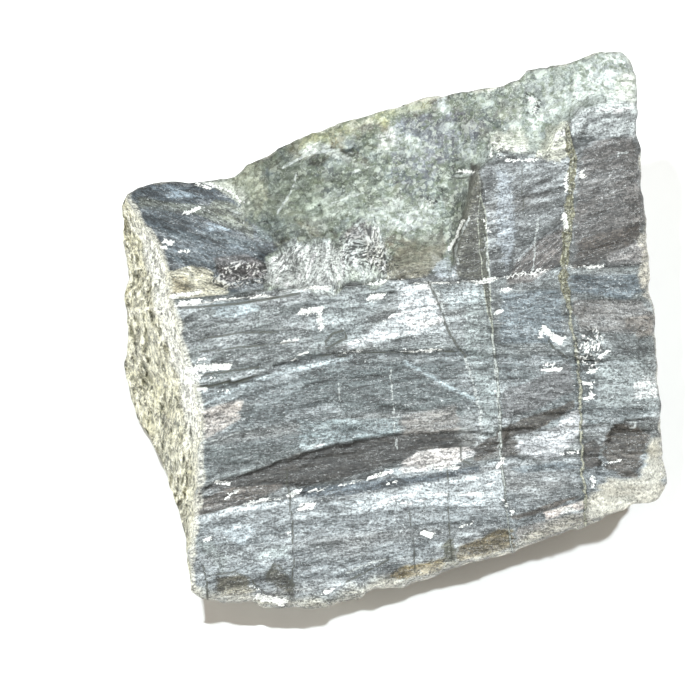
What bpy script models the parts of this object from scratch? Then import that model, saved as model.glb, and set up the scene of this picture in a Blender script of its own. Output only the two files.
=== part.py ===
"""A hand-sized lump of rough labradorite, one solid.

The lump is a wedge of feldspar broken out along its cleavage. Its largest face is a cleavage face
that leans towards the front, crossed by low ledges where layers have split away. Behind it lies a
rough, nearly level crown, on the left a steep face of altered rind, and underneath a flat spot that
the lump rests on. The other sides are broken walls.

The surface is a box of faces, cut into a net of columns and courses and then bent into shape. A
point of the net is first laid out in the plane of the cleavage face, in millimetres: `across` runs
to the right, `up` runs up the slope and `out` stands square to the face.
"""
import math

import bmesh
import bpy
import numpy as np

MM = 0.001

# ---- driving dimensions, in millimetres and degrees ----
FACE_PITCH = 65.0        # the cleavage face's normal stands this far above the horizon
FACE_HEIGHT = 19.4       # the middle of the cleavage face above the surface the lump lies on

# The edge of the lump as it is seen square to the cleavage face: (across, up).
LOWER_EDGE = [(-17.5, -26.6), (-15.9, -27.4), (-14.1, -27.8), (-11.0, -27.7), (-9.5, -28.4),
              (-5.5, -28.4), (-2.8, -28.3), (-0.8, -27.7), (0.9, -27.4), (2.3, -26.3), (5.5, -26.2),
              (6.8, -25.6), (9.0, -25.2), (10.7, -24.3), (13.0, -23.6), (16.5, -22.7), (18.4, -22.1),
              (20.7, -21.1), (22.2, -20.5), (25.3, -19.6), (27.5, -18.7), (29.5, -17.7),
              (31.0, -17.1), (32.8, -16.8), (34.1, -16.2)]
UPPER_EDGE = [(-24.6, 17.2), (-23.5, 17.9), (-22.0, 18.3), (-20.4, 18.6), (-17.6, 18.6),
              (-15.2, 18.8), (-13.0, 19.1), (-11.4, 20.4), (-9.7, 21.2), (-7.7, 22.4), (-5.3, 23.5),
              (-1.3, 25.1), (3.1, 26.3), (8.1, 27.8), (13.2, 28.6), (16.5, 29.1), (18.7, 29.8),
              (19.6, 30.9), (21.8, 31.2), (24.2, 31.7), (26.4, 32.5), (28.1, 33.0), (29.9, 33.0)]
LEFT_EDGE = [(-17.5, -26.6), (-17.9, -23.1), (-18.0, -20.9), (-18.5, -18.7), (-19.6, -15.4),
             (-20.9, -12.3), (-22.0, -10.1), (-23.5, -7.7), (-24.4, -5.3), (-25.0, -1.8),
             (-24.6, 1.6), (-24.9, 5.5), (-24.5, 8.8), (-25.2, 12.7), (-25.2, 15.9), (-24.6, 17.2)]
RIGHT_EDGE = [(34.1, -16.2), (34.8, -14.7), (34.5, -12.3), (34.2, -9.9), (34.3, -7.7), (34.0, -3.9),
              (33.7, 0.0), (33.5, 4.4), (32.9, 6.4), (33.2, 8.6), (32.7, 11.0), (32.5, 14.8),
              (32.1, 17.6), (32.0, 22.0), (31.5, 23.8), (31.7, 26.2), (31.6, 29.7), (31.0, 31.9),
              (29.9, 33.0)]

# The corner where the steep rind face meets the cleavage face.
RIND_CORNER = [(-17.4, -26.6), (-17.4, -23.1), (-17.2, -19.8), (-16.8, -17.1), (-16.5, -14.3),
               (-16.4, -9.9), (-16.4, -6.6), (-16.8, -3.9), (-18.3, 0.0), (-19.1, 3.1),
               (-19.7, 5.5), (-20.0, 8.2), (-21.1, 11.6), (-22.8, 14.1), (-24.0, 16.1), (-24.6, 17.2)]
RIND_FALL = 2.2          # the rind face falls this many millimetres for each millimetre across
RIND_FOOT = 1.5          # and stops this high above the surface the lump lies on
RIND_LUMP = 4.5          # size of its lumps
RIND_LUMP_RISE = 1.3

# Ledges across the cleavage face, from the lowest to the highest.
TOE_LEDGE = [(-16.8, -18.3), (-13.2, -17.4), (-9.3, -16.4), (-5.5, -15.9), (-1.1, -14.6),
             (2.8, -14.1), (3.9, -13.2), (12.1, -12.7), (16.5, -12.1), (25.3, -11.8), (34.5, -11.2)]
BAND_LEDGE = [(-16.7, -15.6), (-13.8, -14.3), (-5.5, -11.6), (-0.6, -10.2), (5.0, -9.3),
              (11.6, -8.8), (17.6, -9.0), (25.3, -8.2), (34.3, -7.7)]
MIDDLE_LEDGE = [(-16.8, -4.2), (-12.1, -3.0), (-9.7, -2.3), (-5.0, -0.8), (-0.6, -0.4), (12.1, -0.2),
                (23.1, -0.7), (33.9, -1.3)]
TOP_LEDGE = [(-19.7, 4.8), (-12.1, 5.5), (-6.6, 6.3), (-2.2, 6.8), (3.3, 7.4), (14.3, 7.6),
             (24.2, 9.0), (33.5, 9.7)]
LEDGE_RUN = 0.45         # a riser is this wide as seen square to the face
TOE_LEVEL = 0.55         # the strip below the toe ledge stands this far out
BAND_LEVEL = -0.55       # the strip above it is sunk
MIDDLE_LEVEL = 0.0
TOP_LEVEL = 0.6
BLOCK_LEVEL = -0.35      # what lies above the top ledge

# The line where the surface bends away to the crown, and how steeply it falls behind it.
KNEE = [(-19.7, 4.8), (-12.1, 5.5), (-6.6, 6.3), (-2.2, 6.8), (3.3, 7.4), (11.2, 7.7), (12.1, 11.2),
        (13.2, 15.9), (14.3, 19.6), (16.5, 21.1), (21.4, 20.9), (23.3, 24.0), (26.4, 26.1),
        (31.7, 26.2)]
CROWN_FALL = [(-24.0, 0.58), (-13.0, 0.50), (-3.0, 0.47), (5.5, 0.36), (11.0, 0.28), (16.5, 0.55),
              (31.0, 0.50)]
KNEE_ROUND = 0.8         # the bend is rounded over this length
HACKLE_REACH = 4.2       # left of the long crack a steeper, hackly strip lies just behind the knee
HACKLE_DROP = [(-24.0, 0.6), (-18.0, 1.4), (-9.0, 2.2), (6.0, 1.9), (11.5, 0.8), (13.0, 0.0)]
CROWN_LUMP = 6.5         # size of the crown's lumps
CROWN_LUMP_RISE = 0.7

# The crown's left end is a sunk, flatter facet, and this line (up, across) is the step beside it.
SUNK_FACET = [(6.0, -5.2), (9.7, -5.6), (16.0, -9.6), (19.2, -12.9)]
SUNK_FACET_DEPTH = 0.9
SUNK_FACET_RUN = 1.6

# Open cracks that run up the face, each with its width and depth.
LONG_CRACK = [(17.9, -24.0), (17.8, -22.0), (17.5, -19.8), (17.1, -16.5), (16.7, -12.1),
              (16.5, -7.7), (16.1, -2.2), (15.6, 2.2), (15.1, 6.6), (14.7, 11.0), (14.5, 14.8),
              (14.2, 29.0)]
SEAM_CRACK = [(26.0, -20.0), (25.9, -16.5), (25.6, -14.3), (25.5, -9.9), (25.3, -5.5), (25.0, -1.1),
              (24.5, 2.2), (24.0, 5.5), (23.4, 7.7), (23.9, 12.1), (24.2, 16.5), (24.5, 20.9),
              (23.9, 24.2), (24.3, 32.0)]
LONG_CRACK_SIZE = (0.5, 0.3)
SEAM_CRACK_SIZE = (0.9, 0.4)

# Bites broken out of the lower edge: (from, to) across, and how far up the face each one reaches.
EDGE_BITES = [(-15.6, -10.4, 2.9), (-10.4, -5.8, 4.2), (3.6, 11.4, 3.4), (11.4, 18.6, 3.2),
              (18.6, 27.0, 3.6)]
BITE_FALL = 0.55
BITE_SIDE = 1.6          # a bite's ends run out over this width

# Slanted flakes missing from the face: middle (across, up), half length, half height and depth.
FLAKES = [(21.2, -8.6, 4.0, 2.0, 0.55), (30.3, -11.2, 2.6, 2.7, 0.6), (-13.8, -8.2, 2.8, 2.3, 0.35),
          (28.6, 3.6, 3.4, 2.2, 0.35), (28.4, 24.6, 2.9, 1.7, 0.5), (-14.6, 8.2, 3.4, 1.7, 0.45)]
FLAKE_LEAN = 0.35        # a flake's ends lean across by this much for each millimetre up
FLAKE_RUN = 0.9          # and its sides slope over this width

# The walls below the edge. Each leans in by this much for each millimetre down.
LOWER_LEAN = 0.22
UPPER_LEAN = 0.46
LEFT_LEAN = 0.22
RIGHT_LEAN = 0.14
SHOULDER = 3.5           # the right side of the face rounds off over this width
SHOULDER_DROP = 1.6
EDGE_ROUND = 0.9         # all edges are worn over this width
SCAR_SIZE = 9.0          # the walls are covered in hollow flake scars of about this size
SCAR_DEPTH = 2.6
LAYER = 4.3              # and are stepped where layers, which lie along the face, end
LAYER_STEP = 0.8
FOOT_ROUND = 2.4         # the walls turn in over this height above the base
FOOT_INSET = 1.6

# The net.
RIND_SHARE = 0.17        # share of the columns' range that is rind
LONG_CRACK_SHARE = 0.68
SEAM_CRACK_SHARE = 0.85
COURSE_SHARES = (0.0, 0.2, 0.3, 0.5, 0.66, 1.0)
WALL_ROWS = (0.0, 0.04, 0.09, 0.16, 0.24, 0.32, 0.40, 0.48, 0.56, 0.64, 0.72, 0.80, 0.88, 0.95, 1.0)
STONE_SEED = 12


def line_at(points, value, axis=0):
    """Read the broken line at a value of one axis and return the other one."""
    line = np.array(points)
    return np.interp(value, line[:, axis], line[:, 1 - axis])


def blend(lines, shares, share):
    """Blend between neighbouring lines, whose values are the rows of `lines`."""
    left = np.clip(np.searchsorted(shares, share, side="right") - 1, 0, len(shares) - 2)
    low = np.take(shares, left)
    mix = (share - low) / (np.take(shares, left + 1) - low)
    here = np.arange(len(share))
    return lines[left, here] * (1 - mix) + lines[left + 1, here] * mix


def lay_out(column, course):
    """Across and up of net points: where a column's line crosses a course's line."""
    courses = (LOWER_EDGE, TOE_LEDGE, BAND_LEDGE, MIDDLE_LEDGE, TOP_LEDGE, UPPER_EDGE)
    columns = (LEFT_EDGE, RIND_CORNER, LONG_CRACK, SEAM_CRACK, RIGHT_EDGE)
    column_shares = (0.0, RIND_SHARE, LONG_CRACK_SHARE, SEAM_CRACK_SHARE, 1.0)
    up = np.zeros(len(column))
    for _ in range(12):
        across = blend(np.array([line_at(line, up, 1) for line in columns]), column_shares, column)
        up = blend(np.array([line_at(line, across) for line in courses]), COURSE_SHARES, course)
    return across, up


def rough(points, size, seed):
    """Smooth random lumps of one size: values at the corners of a lattice, blended between them."""
    table = np.random.default_rng(STONE_SEED + seed).uniform(-1.0, 1.0, (32, 32, 32))
    place = points / size
    cell = np.floor(place).astype(int)
    part = place - cell
    part = part * part * (3 - 2 * part)
    total = np.zeros(len(points))
    for corner in np.ndindex(2, 2, 2):
        weight = np.prod(np.where(corner, part, 1 - part), axis=1)
        total += weight * table[tuple(((cell + corner) % 32).T)]
    return total


def scars(points, size, seed):
    """Hollow scars: the distance, in sizes, to the nearest of a set of scattered middles."""
    table = np.random.default_rng(STONE_SEED + seed).uniform(0.0, 1.0, (16, 16, 16, 3))
    place = points / size
    cell = np.floor(place).astype(int)
    nearest = np.full(len(points), 9.0)
    for step in np.ndindex(3, 3, 3):
        near_cell = cell + np.array(step) - 1
        middle = near_cell + table[tuple((near_cell % 16).T)]
        nearest = np.minimum(nearest, np.linalg.norm(place - middle, axis=1))
    return nearest


def ramp(distance, run):
    """0 before a line, 1 behind it, and a straight slope of the given run between."""
    return np.clip(distance / run + 0.5, 0.0, 1.0)


def rounded(distance, radius):
    """The distance behind a line, 0 in front of it, with the bend rounded."""
    past = np.maximum(distance, 0.0)
    return np.where(past < radius, past * past / (2 * radius), past - radius / 2)


def groove(across, up, line, size):
    """Depth of a V-shaped crack that runs up along a line."""
    width, depth = size
    return depth * np.clip(1 - np.abs(across - line_at(line, up, 1)) / (width / 2), 0.0, 1.0)


def front_height(across, up):
    """How far the surface stands out from the plane of the cleavage face."""
    corner = line_at(RIND_CORNER, up, 1)
    inside = np.maximum(across, corner)
    above_top = up - line_at(TOP_LEDGE, inside)
    out = np.full(len(across), TOE_LEVEL)
    out += (BAND_LEVEL - TOE_LEVEL) * ramp(up - line_at(TOE_LEDGE, inside), LEDGE_RUN)
    out += (MIDDLE_LEVEL - BAND_LEVEL) * ramp(up - line_at(BAND_LEDGE, inside), LEDGE_RUN)
    out += (TOP_LEVEL - MIDDLE_LEVEL) * ramp(up - line_at(MIDDLE_LEDGE, inside), LEDGE_RUN)
    out += (BLOCK_LEVEL - TOP_LEVEL) * ramp(above_top, LEDGE_RUN)

    behind = rounded(up - line_at(KNEE, inside), KNEE_ROUND)
    out -= behind * line_at(CROWN_FALL, inside)
    out -= line_at(HACKLE_DROP, inside) * np.clip(behind / HACKLE_REACH, 0.0, 1.0)
    on_crown = np.clip(behind / 2, 0.0, 1.0)
    sunk = ramp(line_at(SUNK_FACET, up) - inside, SUNK_FACET_RUN) * on_crown
    out -= SUNK_FACET_DEPTH * sunk
    place = np.stack([inside, up, np.zeros(len(up))], axis=1)
    lumps = rough(place, CROWN_LUMP, 0) + 0.6 * rough(place, CROWN_LUMP / 2.3, 3)
    out += CROWN_LUMP_RISE * lumps * on_crown * (1 - 0.7 * sunk)

    for flake_across, flake_up, length, height, depth in FLAKES:
        from_middle = inside - flake_across - FLAKE_LEAN * (up - flake_up)
        to_side = np.minimum(length - np.abs(from_middle), height - np.abs(up - flake_up))
        out -= depth * np.clip(to_side / FLAKE_RUN, 0.0, 1.0)

    above_edge = up - line_at(LOWER_EDGE, across)
    for start, end, reach in EDGE_BITES:
        side = np.clip(np.minimum(inside - start, end - inside) / BITE_SIDE + 0.5, 0.0, 1.0)
        out -= BITE_FALL * side * np.maximum(reach - above_edge, 0.0)

    from_right = line_at(RIGHT_EDGE, up, 1) - across
    out -= SHOULDER_DROP * np.clip(1 - from_right / SHOULDER, 0.0, 1.0) ** 2
    to_edge = np.minimum(np.minimum(above_edge, line_at(UPPER_EDGE, across) - up), from_right)
    out -= 0.5 * np.clip(1 - to_edge / EDGE_ROUND, 0.0, 1.0) ** 2
    out -= groove(across, up, LONG_CRACK, LONG_CRACK_SIZE)
    out -= groove(across, up, SEAM_CRACK, SEAM_CRACK_SIZE)

    past_corner = corner - across
    out -= RIND_FALL * rounded(past_corner, 0.5)
    place = np.stack([np.zeros(len(up)), up, out], axis=1)
    lumps = rough(place, RIND_LUMP, 6) + 0.5 * rough(place, RIND_LUMP / 2.2, 7)
    out += RIND_LUMP_RISE * lumps * np.clip(past_corner / 2, 0.0, 1.0)

    pitch = math.radians(FACE_PITCH)
    lowest = (RIND_FOOT - FACE_HEIGHT - up * math.cos(pitch)) / math.sin(pitch)
    return np.maximum(out, lowest)


def stand_up(across, up, out):
    """Turn face coordinates into upright ones, z = 0 on the surface the lump lies on."""
    pitch = math.radians(FACE_PITCH)
    back = up * math.sin(pitch) - out * math.cos(pitch)
    height = up * math.cos(pitch) + out * math.sin(pitch) + FACE_HEIGHT
    return np.stack([across, back, height], axis=1)


def shape_lump(net):
    """Bend the net (column, course, share of the height) into the lump, in millimetres."""
    column, course, level = net.T
    pitch = math.radians(FACE_PITCH)
    across, up = lay_out(column, course)
    out = front_height(across, up)
    top = stand_up(across, up, out)

    lean_across = LEFT_LEAN * (1 - column) - RIGHT_LEAN * column
    lean_up = LOWER_LEAN * (1 - course) - UPPER_LEAN * course
    deep = top[:, 2] / (math.sin(pitch) - lean_up * math.cos(pitch)) * (1 - level)
    lump = stand_up(across + lean_across * deep, up + lean_up * deep, out - deep)

    middle = top[:, :2].mean(axis=0)
    outward = lump[:, :2] - middle
    outward /= np.linalg.norm(outward, axis=1)[:, None]
    layer = (out - deep) / LAYER + 0.6 * rough(lump, 3 * LAYER, 4)
    ledge = np.floor(layer)
    lying = np.stack([ledge * 5.0, lump[:, 0] / LAYER / 3, lump[:, 1] / LAYER / 3], axis=1)
    stepped = LAYER_STEP * rough(lying, 1.0, 5)
    relief = SCAR_DEPTH * (scars(lump, SCAR_SIZE, 1) - 0.75) + stepped
    relief = np.minimum(relief, 0.6) * np.clip(top[:, 2] * (1 - level) / 3.0, 0.0, 1.0)
    on_wall = (level < 1) & ((column < 0.001) | (column > 0.999) | (course < 0.001) | (course > 0.999))
    relief -= FOOT_INSET * np.clip(1 - lump[:, 2] / FOOT_ROUND, 0.0, 1.0) ** 2
    lump[:, :2] += outward * np.where(on_wall, relief, 0.0)[:, None]
    lump[level < 0.001, 2] = 0.0

    span = (lump[:, :2].min(axis=0) + lump[:, :2].max(axis=0)) / 2
    lump[:, :2] -= span
    return lump


def spread(stops, counts):
    """Values from stop to stop, with the given number of steps between each pair."""
    pieces = [np.linspace(a, b, n, endpoint=False) for a, b, n in zip(stops, stops[1:], counts)]
    return np.concatenate(pieces + [[stops[-1]]])


def net_columns():
    """Columns: the rind, the face up to each crack, three close ones in a crack, and the rest."""
    gap = 0.008
    stops = (0.0, RIND_SHARE, LONG_CRACK_SHARE - gap, LONG_CRACK_SHARE, LONG_CRACK_SHARE + gap,
             SEAM_CRACK_SHARE - gap, SEAM_CRACK_SHARE, SEAM_CRACK_SHARE + gap, 1.0)
    return spread(stops, (9, 26, 1, 1, 6, 1, 1, 6))


def net_courses():
    """Courses: two close ones at each ledge, for its riser, and even ones between."""
    gap = 0.006
    lower, toe, band, middle, top, upper = COURSE_SHARES
    stops = (lower, toe - gap, toe + gap, band - gap, band + gap, middle - gap, middle + gap,
             top - gap, top + gap, upper)
    return spread(stops, (8, 1, 3, 1, 7, 1, 5, 1, 17))


def cut_net():
    """A unit cube, sliced into the net's columns, courses and wall rows, its base left whole."""
    net = bmesh.new()
    bmesh.ops.create_cube(net, size=1.0)
    bmesh.ops.translate(net, verts=net.verts, vec=(0.5, 0.5, 0.5))
    slices = [((1, 0, 0), net_columns()), ((0, 1, 0), net_courses()), ((0, 0, 1), WALL_ROWS)]
    for direction, places in slices:
        for place in places[1:-1]:
            everything = net.verts[:] + net.edges[:] + net.faces[:]
            point = tuple(place * d for d in direction)
            bmesh.ops.bisect_plane(net, geom=everything, plane_co=point, plane_no=direction)
    base = [face for face in net.faces if face.normal.z < -0.9]
    bmesh.ops.dissolve_faces(net, faces=base)
    return net


def make_stone_material():
    """Grey, slightly glossy feldspar."""
    material = bpy.data.materials.new("labradorite feldspar")
    material.use_nodes = True
    shader = material.node_tree.nodes["Principled BSDF"]
    shader.inputs["Base Color"].default_value = (0.33, 0.37, 0.37, 1.0)
    shader.inputs["Roughness"].default_value = 0.5
    shader.inputs["Metallic"].default_value = 0.0
    return material


def make_lump():
    """The lump of labradorite."""
    net = cut_net()
    places = shape_lump(np.array([vertex.co[:] for vertex in net.verts])) * MM
    for vertex, place in zip(net.verts, places):
        vertex.co = place
    mesh = bpy.data.meshes.new("labradorite")
    net.to_mesh(mesh)
    net.free()
    mesh.materials.append(make_stone_material())
    lump = bpy.data.objects.new("labradorite", mesh)
    collection = bpy.data.collections.new("rough labradorite")
    bpy.context.scene.collection.children.link(collection)
    collection.objects.link(lump)
    return lump


for old in list(bpy.data.objects):
    bpy.data.objects.remove(old, do_unlink=True)
make_lump()
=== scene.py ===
"""A lump of rough labradorite, dressed: its broken surface, its colours and the light it lies in."""
import math

import bpy
import numpy as np
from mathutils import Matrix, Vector


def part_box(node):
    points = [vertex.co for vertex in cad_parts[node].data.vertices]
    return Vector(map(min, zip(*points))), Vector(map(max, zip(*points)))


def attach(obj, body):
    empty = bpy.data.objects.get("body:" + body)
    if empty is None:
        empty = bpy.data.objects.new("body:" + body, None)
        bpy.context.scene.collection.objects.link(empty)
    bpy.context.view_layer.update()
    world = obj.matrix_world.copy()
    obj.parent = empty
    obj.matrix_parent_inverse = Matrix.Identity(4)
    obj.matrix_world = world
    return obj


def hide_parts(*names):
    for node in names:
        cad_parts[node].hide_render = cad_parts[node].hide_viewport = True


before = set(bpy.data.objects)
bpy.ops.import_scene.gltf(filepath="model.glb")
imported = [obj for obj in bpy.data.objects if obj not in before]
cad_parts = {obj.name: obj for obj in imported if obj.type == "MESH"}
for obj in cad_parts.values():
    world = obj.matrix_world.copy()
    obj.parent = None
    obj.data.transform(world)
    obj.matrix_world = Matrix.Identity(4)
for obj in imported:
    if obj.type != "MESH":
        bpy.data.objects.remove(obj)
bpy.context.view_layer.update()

# ---------------------------------------------------------------------------------------------
# The block. One piece of feldspar, broken out of the rock along its cleavage. Its front is laid
# out in the plane of the big cleavage face, in millimetres: across to the right, up the slope,
# and out, square to the face. Columns and courses of a net follow the layers of the stone.
# ---------------------------------------------------------------------------------------------
LOWER_EDGE = [(-17.5, -26.6), (-15.9, -27.4), (-14.1, -27.8), (-11.0, -27.7), (-9.5, -28.4),
              (-5.5, -28.4), (-2.8, -28.3), (-0.8, -27.7), (0.9, -27.4), (2.3, -26.3), (5.5, -26.2),
              (6.8, -25.6), (9.0, -25.2), (10.7, -24.3), (13.0, -23.6), (16.5, -22.7), (18.4, -22.1),
              (20.7, -21.1), (22.2, -20.5), (25.3, -19.6), (27.5, -18.7), (29.5, -17.7), (31.0, -17.1),
              (32.8, -16.8), (34.1, -16.2)]
UPPER_EDGE = [(-24.6, 17.2), (-23.5, 17.9), (-22.0, 18.3), (-20.4, 18.6), (-17.6, 18.6), (-15.2, 18.8),
              (-13.0, 19.1), (-11.4, 20.4), (-9.7, 21.2), (-7.7, 22.4), (-5.3, 23.5), (-1.3, 25.1),
              (3.1, 26.3), (8.1, 27.8), (13.2, 28.6), (16.5, 29.1), (18.7, 29.8), (19.6, 30.9),
              (21.8, 31.2), (24.2, 31.7), (26.4, 32.5), (28.1, 33.0), (29.9, 33.0)]
LEFT_EDGE = [(-17.5, -26.6), (-17.9, -23.1), (-18.0, -20.9), (-18.5, -18.7), (-19.6, -15.4),
             (-20.9, -12.3), (-22.0, -10.1), (-23.5, -7.7), (-24.4, -5.3), (-25.0, -1.8), (-24.6, 1.6),
             (-24.9, 5.5), (-24.5, 8.8), (-25.2, 12.7), (-25.2, 15.9), (-24.6, 17.2)]
RIGHT_EDGE = [(34.1, -16.2), (34.8, -14.7), (34.5, -12.3), (34.2, -9.9), (34.3, -7.7), (34.0, -3.9),
              (33.7, 0.0), (33.5, 4.4), (32.9, 6.4), (33.2, 8.6), (32.7, 11.0), (32.5, 14.8),
              (32.1, 17.6), (32.0, 22.0), (31.5, 23.8), (31.7, 26.2), (31.6, 29.7), (31.0, 31.9),
              (29.9, 33.0)]
RIND_CORNER = [(-17.4, -26.6), (-17.4, -23.1), (-17.2, -19.8), (-16.8, -17.1), (-16.5, -14.3),
               (-16.4, -9.9), (-16.4, -6.6), (-16.8, -3.9), (-18.3, 0.0), (-19.1, 3.1), (-19.7, 5.5),
               (-20.0, 8.2), (-21.1, 11.6), (-22.8, 14.1), (-24.0, 16.1), (-24.6, 17.2)]
TOE_LEDGE = [(-16.8, -18.3), (-13.2, -17.4), (-9.3, -16.4), (-5.5, -15.9), (-1.1, -14.6), (2.8, -14.1),
             (3.9, -13.2), (12.1, -12.7), (16.5, -12.1), (25.3, -11.8), (34.5, -11.2)]
BAND_LEDGE = [(-16.7, -15.6), (-13.8, -14.3), (-5.5, -11.6), (-0.6, -10.2), (5.0, -9.3), (11.6, -8.8),
              (17.6, -9.0), (25.3, -8.2), (34.3, -7.7)]
MIDDLE_LEDGE = [(-16.8, -4.2), (-12.1, -3.0), (-9.7, -2.3), (-5.0, -0.8), (-0.6, -0.4), (12.1, -0.2),
                (23.1, -0.7), (33.9, -1.3)]
TOP_LEDGE = [(-19.7, 4.8), (-12.1, 5.5), (-6.6, 6.3), (-2.2, 6.8), (3.3, 7.4), (14.3, 7.6),
             (24.2, 9.0), (33.5, 9.7)]
LONG_CRACK = [(17.9, -24.0), (17.8, -22.0), (17.5, -19.8), (17.1, -16.5), (16.7, -12.1), (16.5, -7.7),
              (16.1, -2.2), (15.6, 2.2), (15.1, 6.6), (14.7, 11.0), (14.5, 14.8), (14.2, 29.0)]
SEAM_CRACK = [(26.0, -20.0), (25.9, -16.5), (25.6, -14.3), (25.5, -9.9), (25.3, -5.5), (25.0, -1.1),
              (24.5, 2.2), (24.0, 5.5), (23.4, 7.7), (23.9, 12.1), (24.2, 16.5), (24.5, 20.9),
              (23.9, 24.2), (24.3, 32.0)]
COURSE_SHARES = (0.0, 0.2, 0.3, 0.5, 0.66, 1.0)
COLUMN_SHARES = (0.0, 0.17, 0.68, 0.85, 1.0)
RIND_COLUMNS, FACE_COLUMNS, COURSES = 44, 240, 246
TURNS = 12                           # turns after which a crossing no longer moves


def line_at(points, value, axis=0):
    """Read the broken line at a value of one axis and return the other one."""
    line = np.array(points)
    return np.interp(value, line[:, axis], line[:, 1 - axis])


def between(lines, shares, share):
    """Blend between neighbouring lines, whose values are the rows of `lines`."""
    low = np.clip(np.searchsorted(shares, share, side="right") - 1, 0, len(shares) - 2)
    start, end = np.take(shares, low), np.take(shares, low + 1)
    mix = (share - start) / (end - start)
    here = np.arange(len(share))
    return lines[low, here] * (1 - mix) + lines[low + 1, here] * mix


def lay_out(column, course):
    """Across and up where a column's line crosses a course's line, found by turns."""
    courses = (LOWER_EDGE, TOE_LEDGE, BAND_LEDGE, MIDDLE_LEDGE, TOP_LEDGE, UPPER_EDGE)
    columns = (LEFT_EDGE, RIND_CORNER, LONG_CRACK, SEAM_CRACK, RIGHT_EDGE)
    up = np.zeros(len(column))
    for _ in range(TURNS):
        across = between(np.array([line_at(line, up, 1) for line in columns]), COLUMN_SHARES, column)
        up = between(np.array([line_at(line, across) for line in courses]), COURSE_SHARES, course)
    return across, up


column_line = np.concatenate([np.linspace(0.0, COLUMN_SHARES[1], RIND_COLUMNS, endpoint=False),
                              np.linspace(COLUMN_SHARES[1], 1.0, FACE_COLUMNS)])
course_line = np.linspace(0.0, 1.0, COURSES)
course, column = [grid.ravel() for grid in np.meshgrid(course_line, column_line, indexing="ij")]
across, up = lay_out(column, course)

# ---------------------------------------------------------------------------------------------
# The cleavage face. Feldspar splits into sheets, so the face is a stack of them, each ending in a
# low ledge. A ledge isn't one clean line: it is broken in short straight lengths, set off a little
# from each other.
# ---------------------------------------------------------------------------------------------
STONE_SEED = 12                      # every chance break and grain of this stone grows from it
LEDGE_RUN = 0.25
TOE_LEVEL, BAND_LEVEL, MIDDLE_LEVEL, TOP_LEVEL, BLOCK_LEVEL = 0.55, -0.55, 0.0, 0.6, -0.35
JOG_LENGTH, JOG, JOG_COUNT = 2.4, 0.28, 64


def ramp(distance, run):
    """0 before a line, 1 behind it, and a straight slope of the given run between."""
    return np.clip(distance / run + 0.5, 0.0, 1.0)


def above(line, seed):
    """How far above a ledge each point is. The ledge jogs up or down at the end of each length."""
    jogs = np.random.default_rng(STONE_SEED + seed).uniform(-JOG, JOG, JOG_COUNT)
    length = np.floor(inside / JOG_LENGTH + 0.5 * np.sin(inside * 0.9 + seed)).astype(int)
    return up - line_at(line, inside) + jogs[length % JOG_COUNT]


corner = line_at(RIND_CORNER, up, 1)
inside = np.maximum(across, corner)
above_toe = above(TOE_LEDGE, seed=11)
above_band = above(BAND_LEDGE, seed=12)
above_middle = above(MIDDLE_LEDGE, seed=13)
above_top = above(TOP_LEDGE, seed=14)
out = np.full(len(across), TOE_LEVEL)
out += (BAND_LEVEL - TOE_LEVEL) * ramp(above_toe, LEDGE_RUN)
out += (MIDDLE_LEVEL - BAND_LEVEL) * ramp(above_band, LEDGE_RUN)
out += (TOP_LEVEL - MIDDLE_LEVEL) * ramp(above_middle, LEDGE_RUN)
out += (BLOCK_LEVEL - TOP_LEVEL) * ramp(above_top, LEDGE_RUN)

# ---------------------------------------------------------------------------------------------
# The crown. Behind the knee the sheets are broken across, which leaves a steep hackly strip, then
# a rough, lumpy, nearly level top of altered feldspar. At its left end lies a sunk, smoother facet.
# ---------------------------------------------------------------------------------------------
KNEE = [(-19.7, 4.8), (-12.1, 5.5), (-6.6, 6.3), (-2.2, 6.8), (3.3, 7.4), (11.2, 7.7), (12.1, 11.2),
        (13.2, 15.9), (14.3, 19.6), (16.5, 21.1), (21.4, 20.9), (23.3, 24.0), (26.4, 26.1),
        (31.7, 26.2)]
CROWN_FALL = [(-24.0, 0.58), (-13.0, 0.50), (-3.0, 0.47), (5.5, 0.36), (11.0, 0.28), (16.5, 0.55),
              (31.0, 0.50)]
KNEE_ROUND = 0.8
HACKLE_REACH = 4.2
HACKLE_DROP = [(-24.0, 0.6), (-18.0, 1.4), (-9.0, 2.2), (6.0, 1.9), (11.5, 0.8), (13.0, 0.0)]
CROWN_LUMP, CROWN_LUMP_RISE = 6.5, 0.7
SUNK_FACET = [(6.0, -5.2), (9.7, -5.6), (16.0, -9.6), (19.2, -12.9)]
SUNK_FACET_DEPTH, SUNK_FACET_RUN = 0.9, 1.6


def rounded(distance, radius):
    """The distance behind a line, 0 in front of it, with the bend rounded."""
    past = np.maximum(distance, 0.0)
    return np.where(past < radius, past * past / (2 * radius), past - radius / 2)


def flat(across, up):
    """Points of the face's plane, for the functions that take points."""
    return np.stack([across, up, np.zeros(len(up))], axis=1)


def rough(points, size, seed):
    """Smooth random lumps of one size: values at the corners of a lattice, blended between them.
    `size` may be one number or one for each axis."""
    table = np.random.default_rng(STONE_SEED + seed).uniform(-1.0, 1.0, (32, 32, 32))
    place = points / size
    cell = np.floor(place).astype(int)
    part = place - cell
    part = part * part * (3 - 2 * part)
    total = np.zeros(len(points))
    for corner in np.ndindex(2, 2, 2):
        weight = np.prod(np.where(corner, part, 1 - part), axis=1)
        total += weight * table[tuple(((cell + corner) % 32).T)]
    return total


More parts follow.
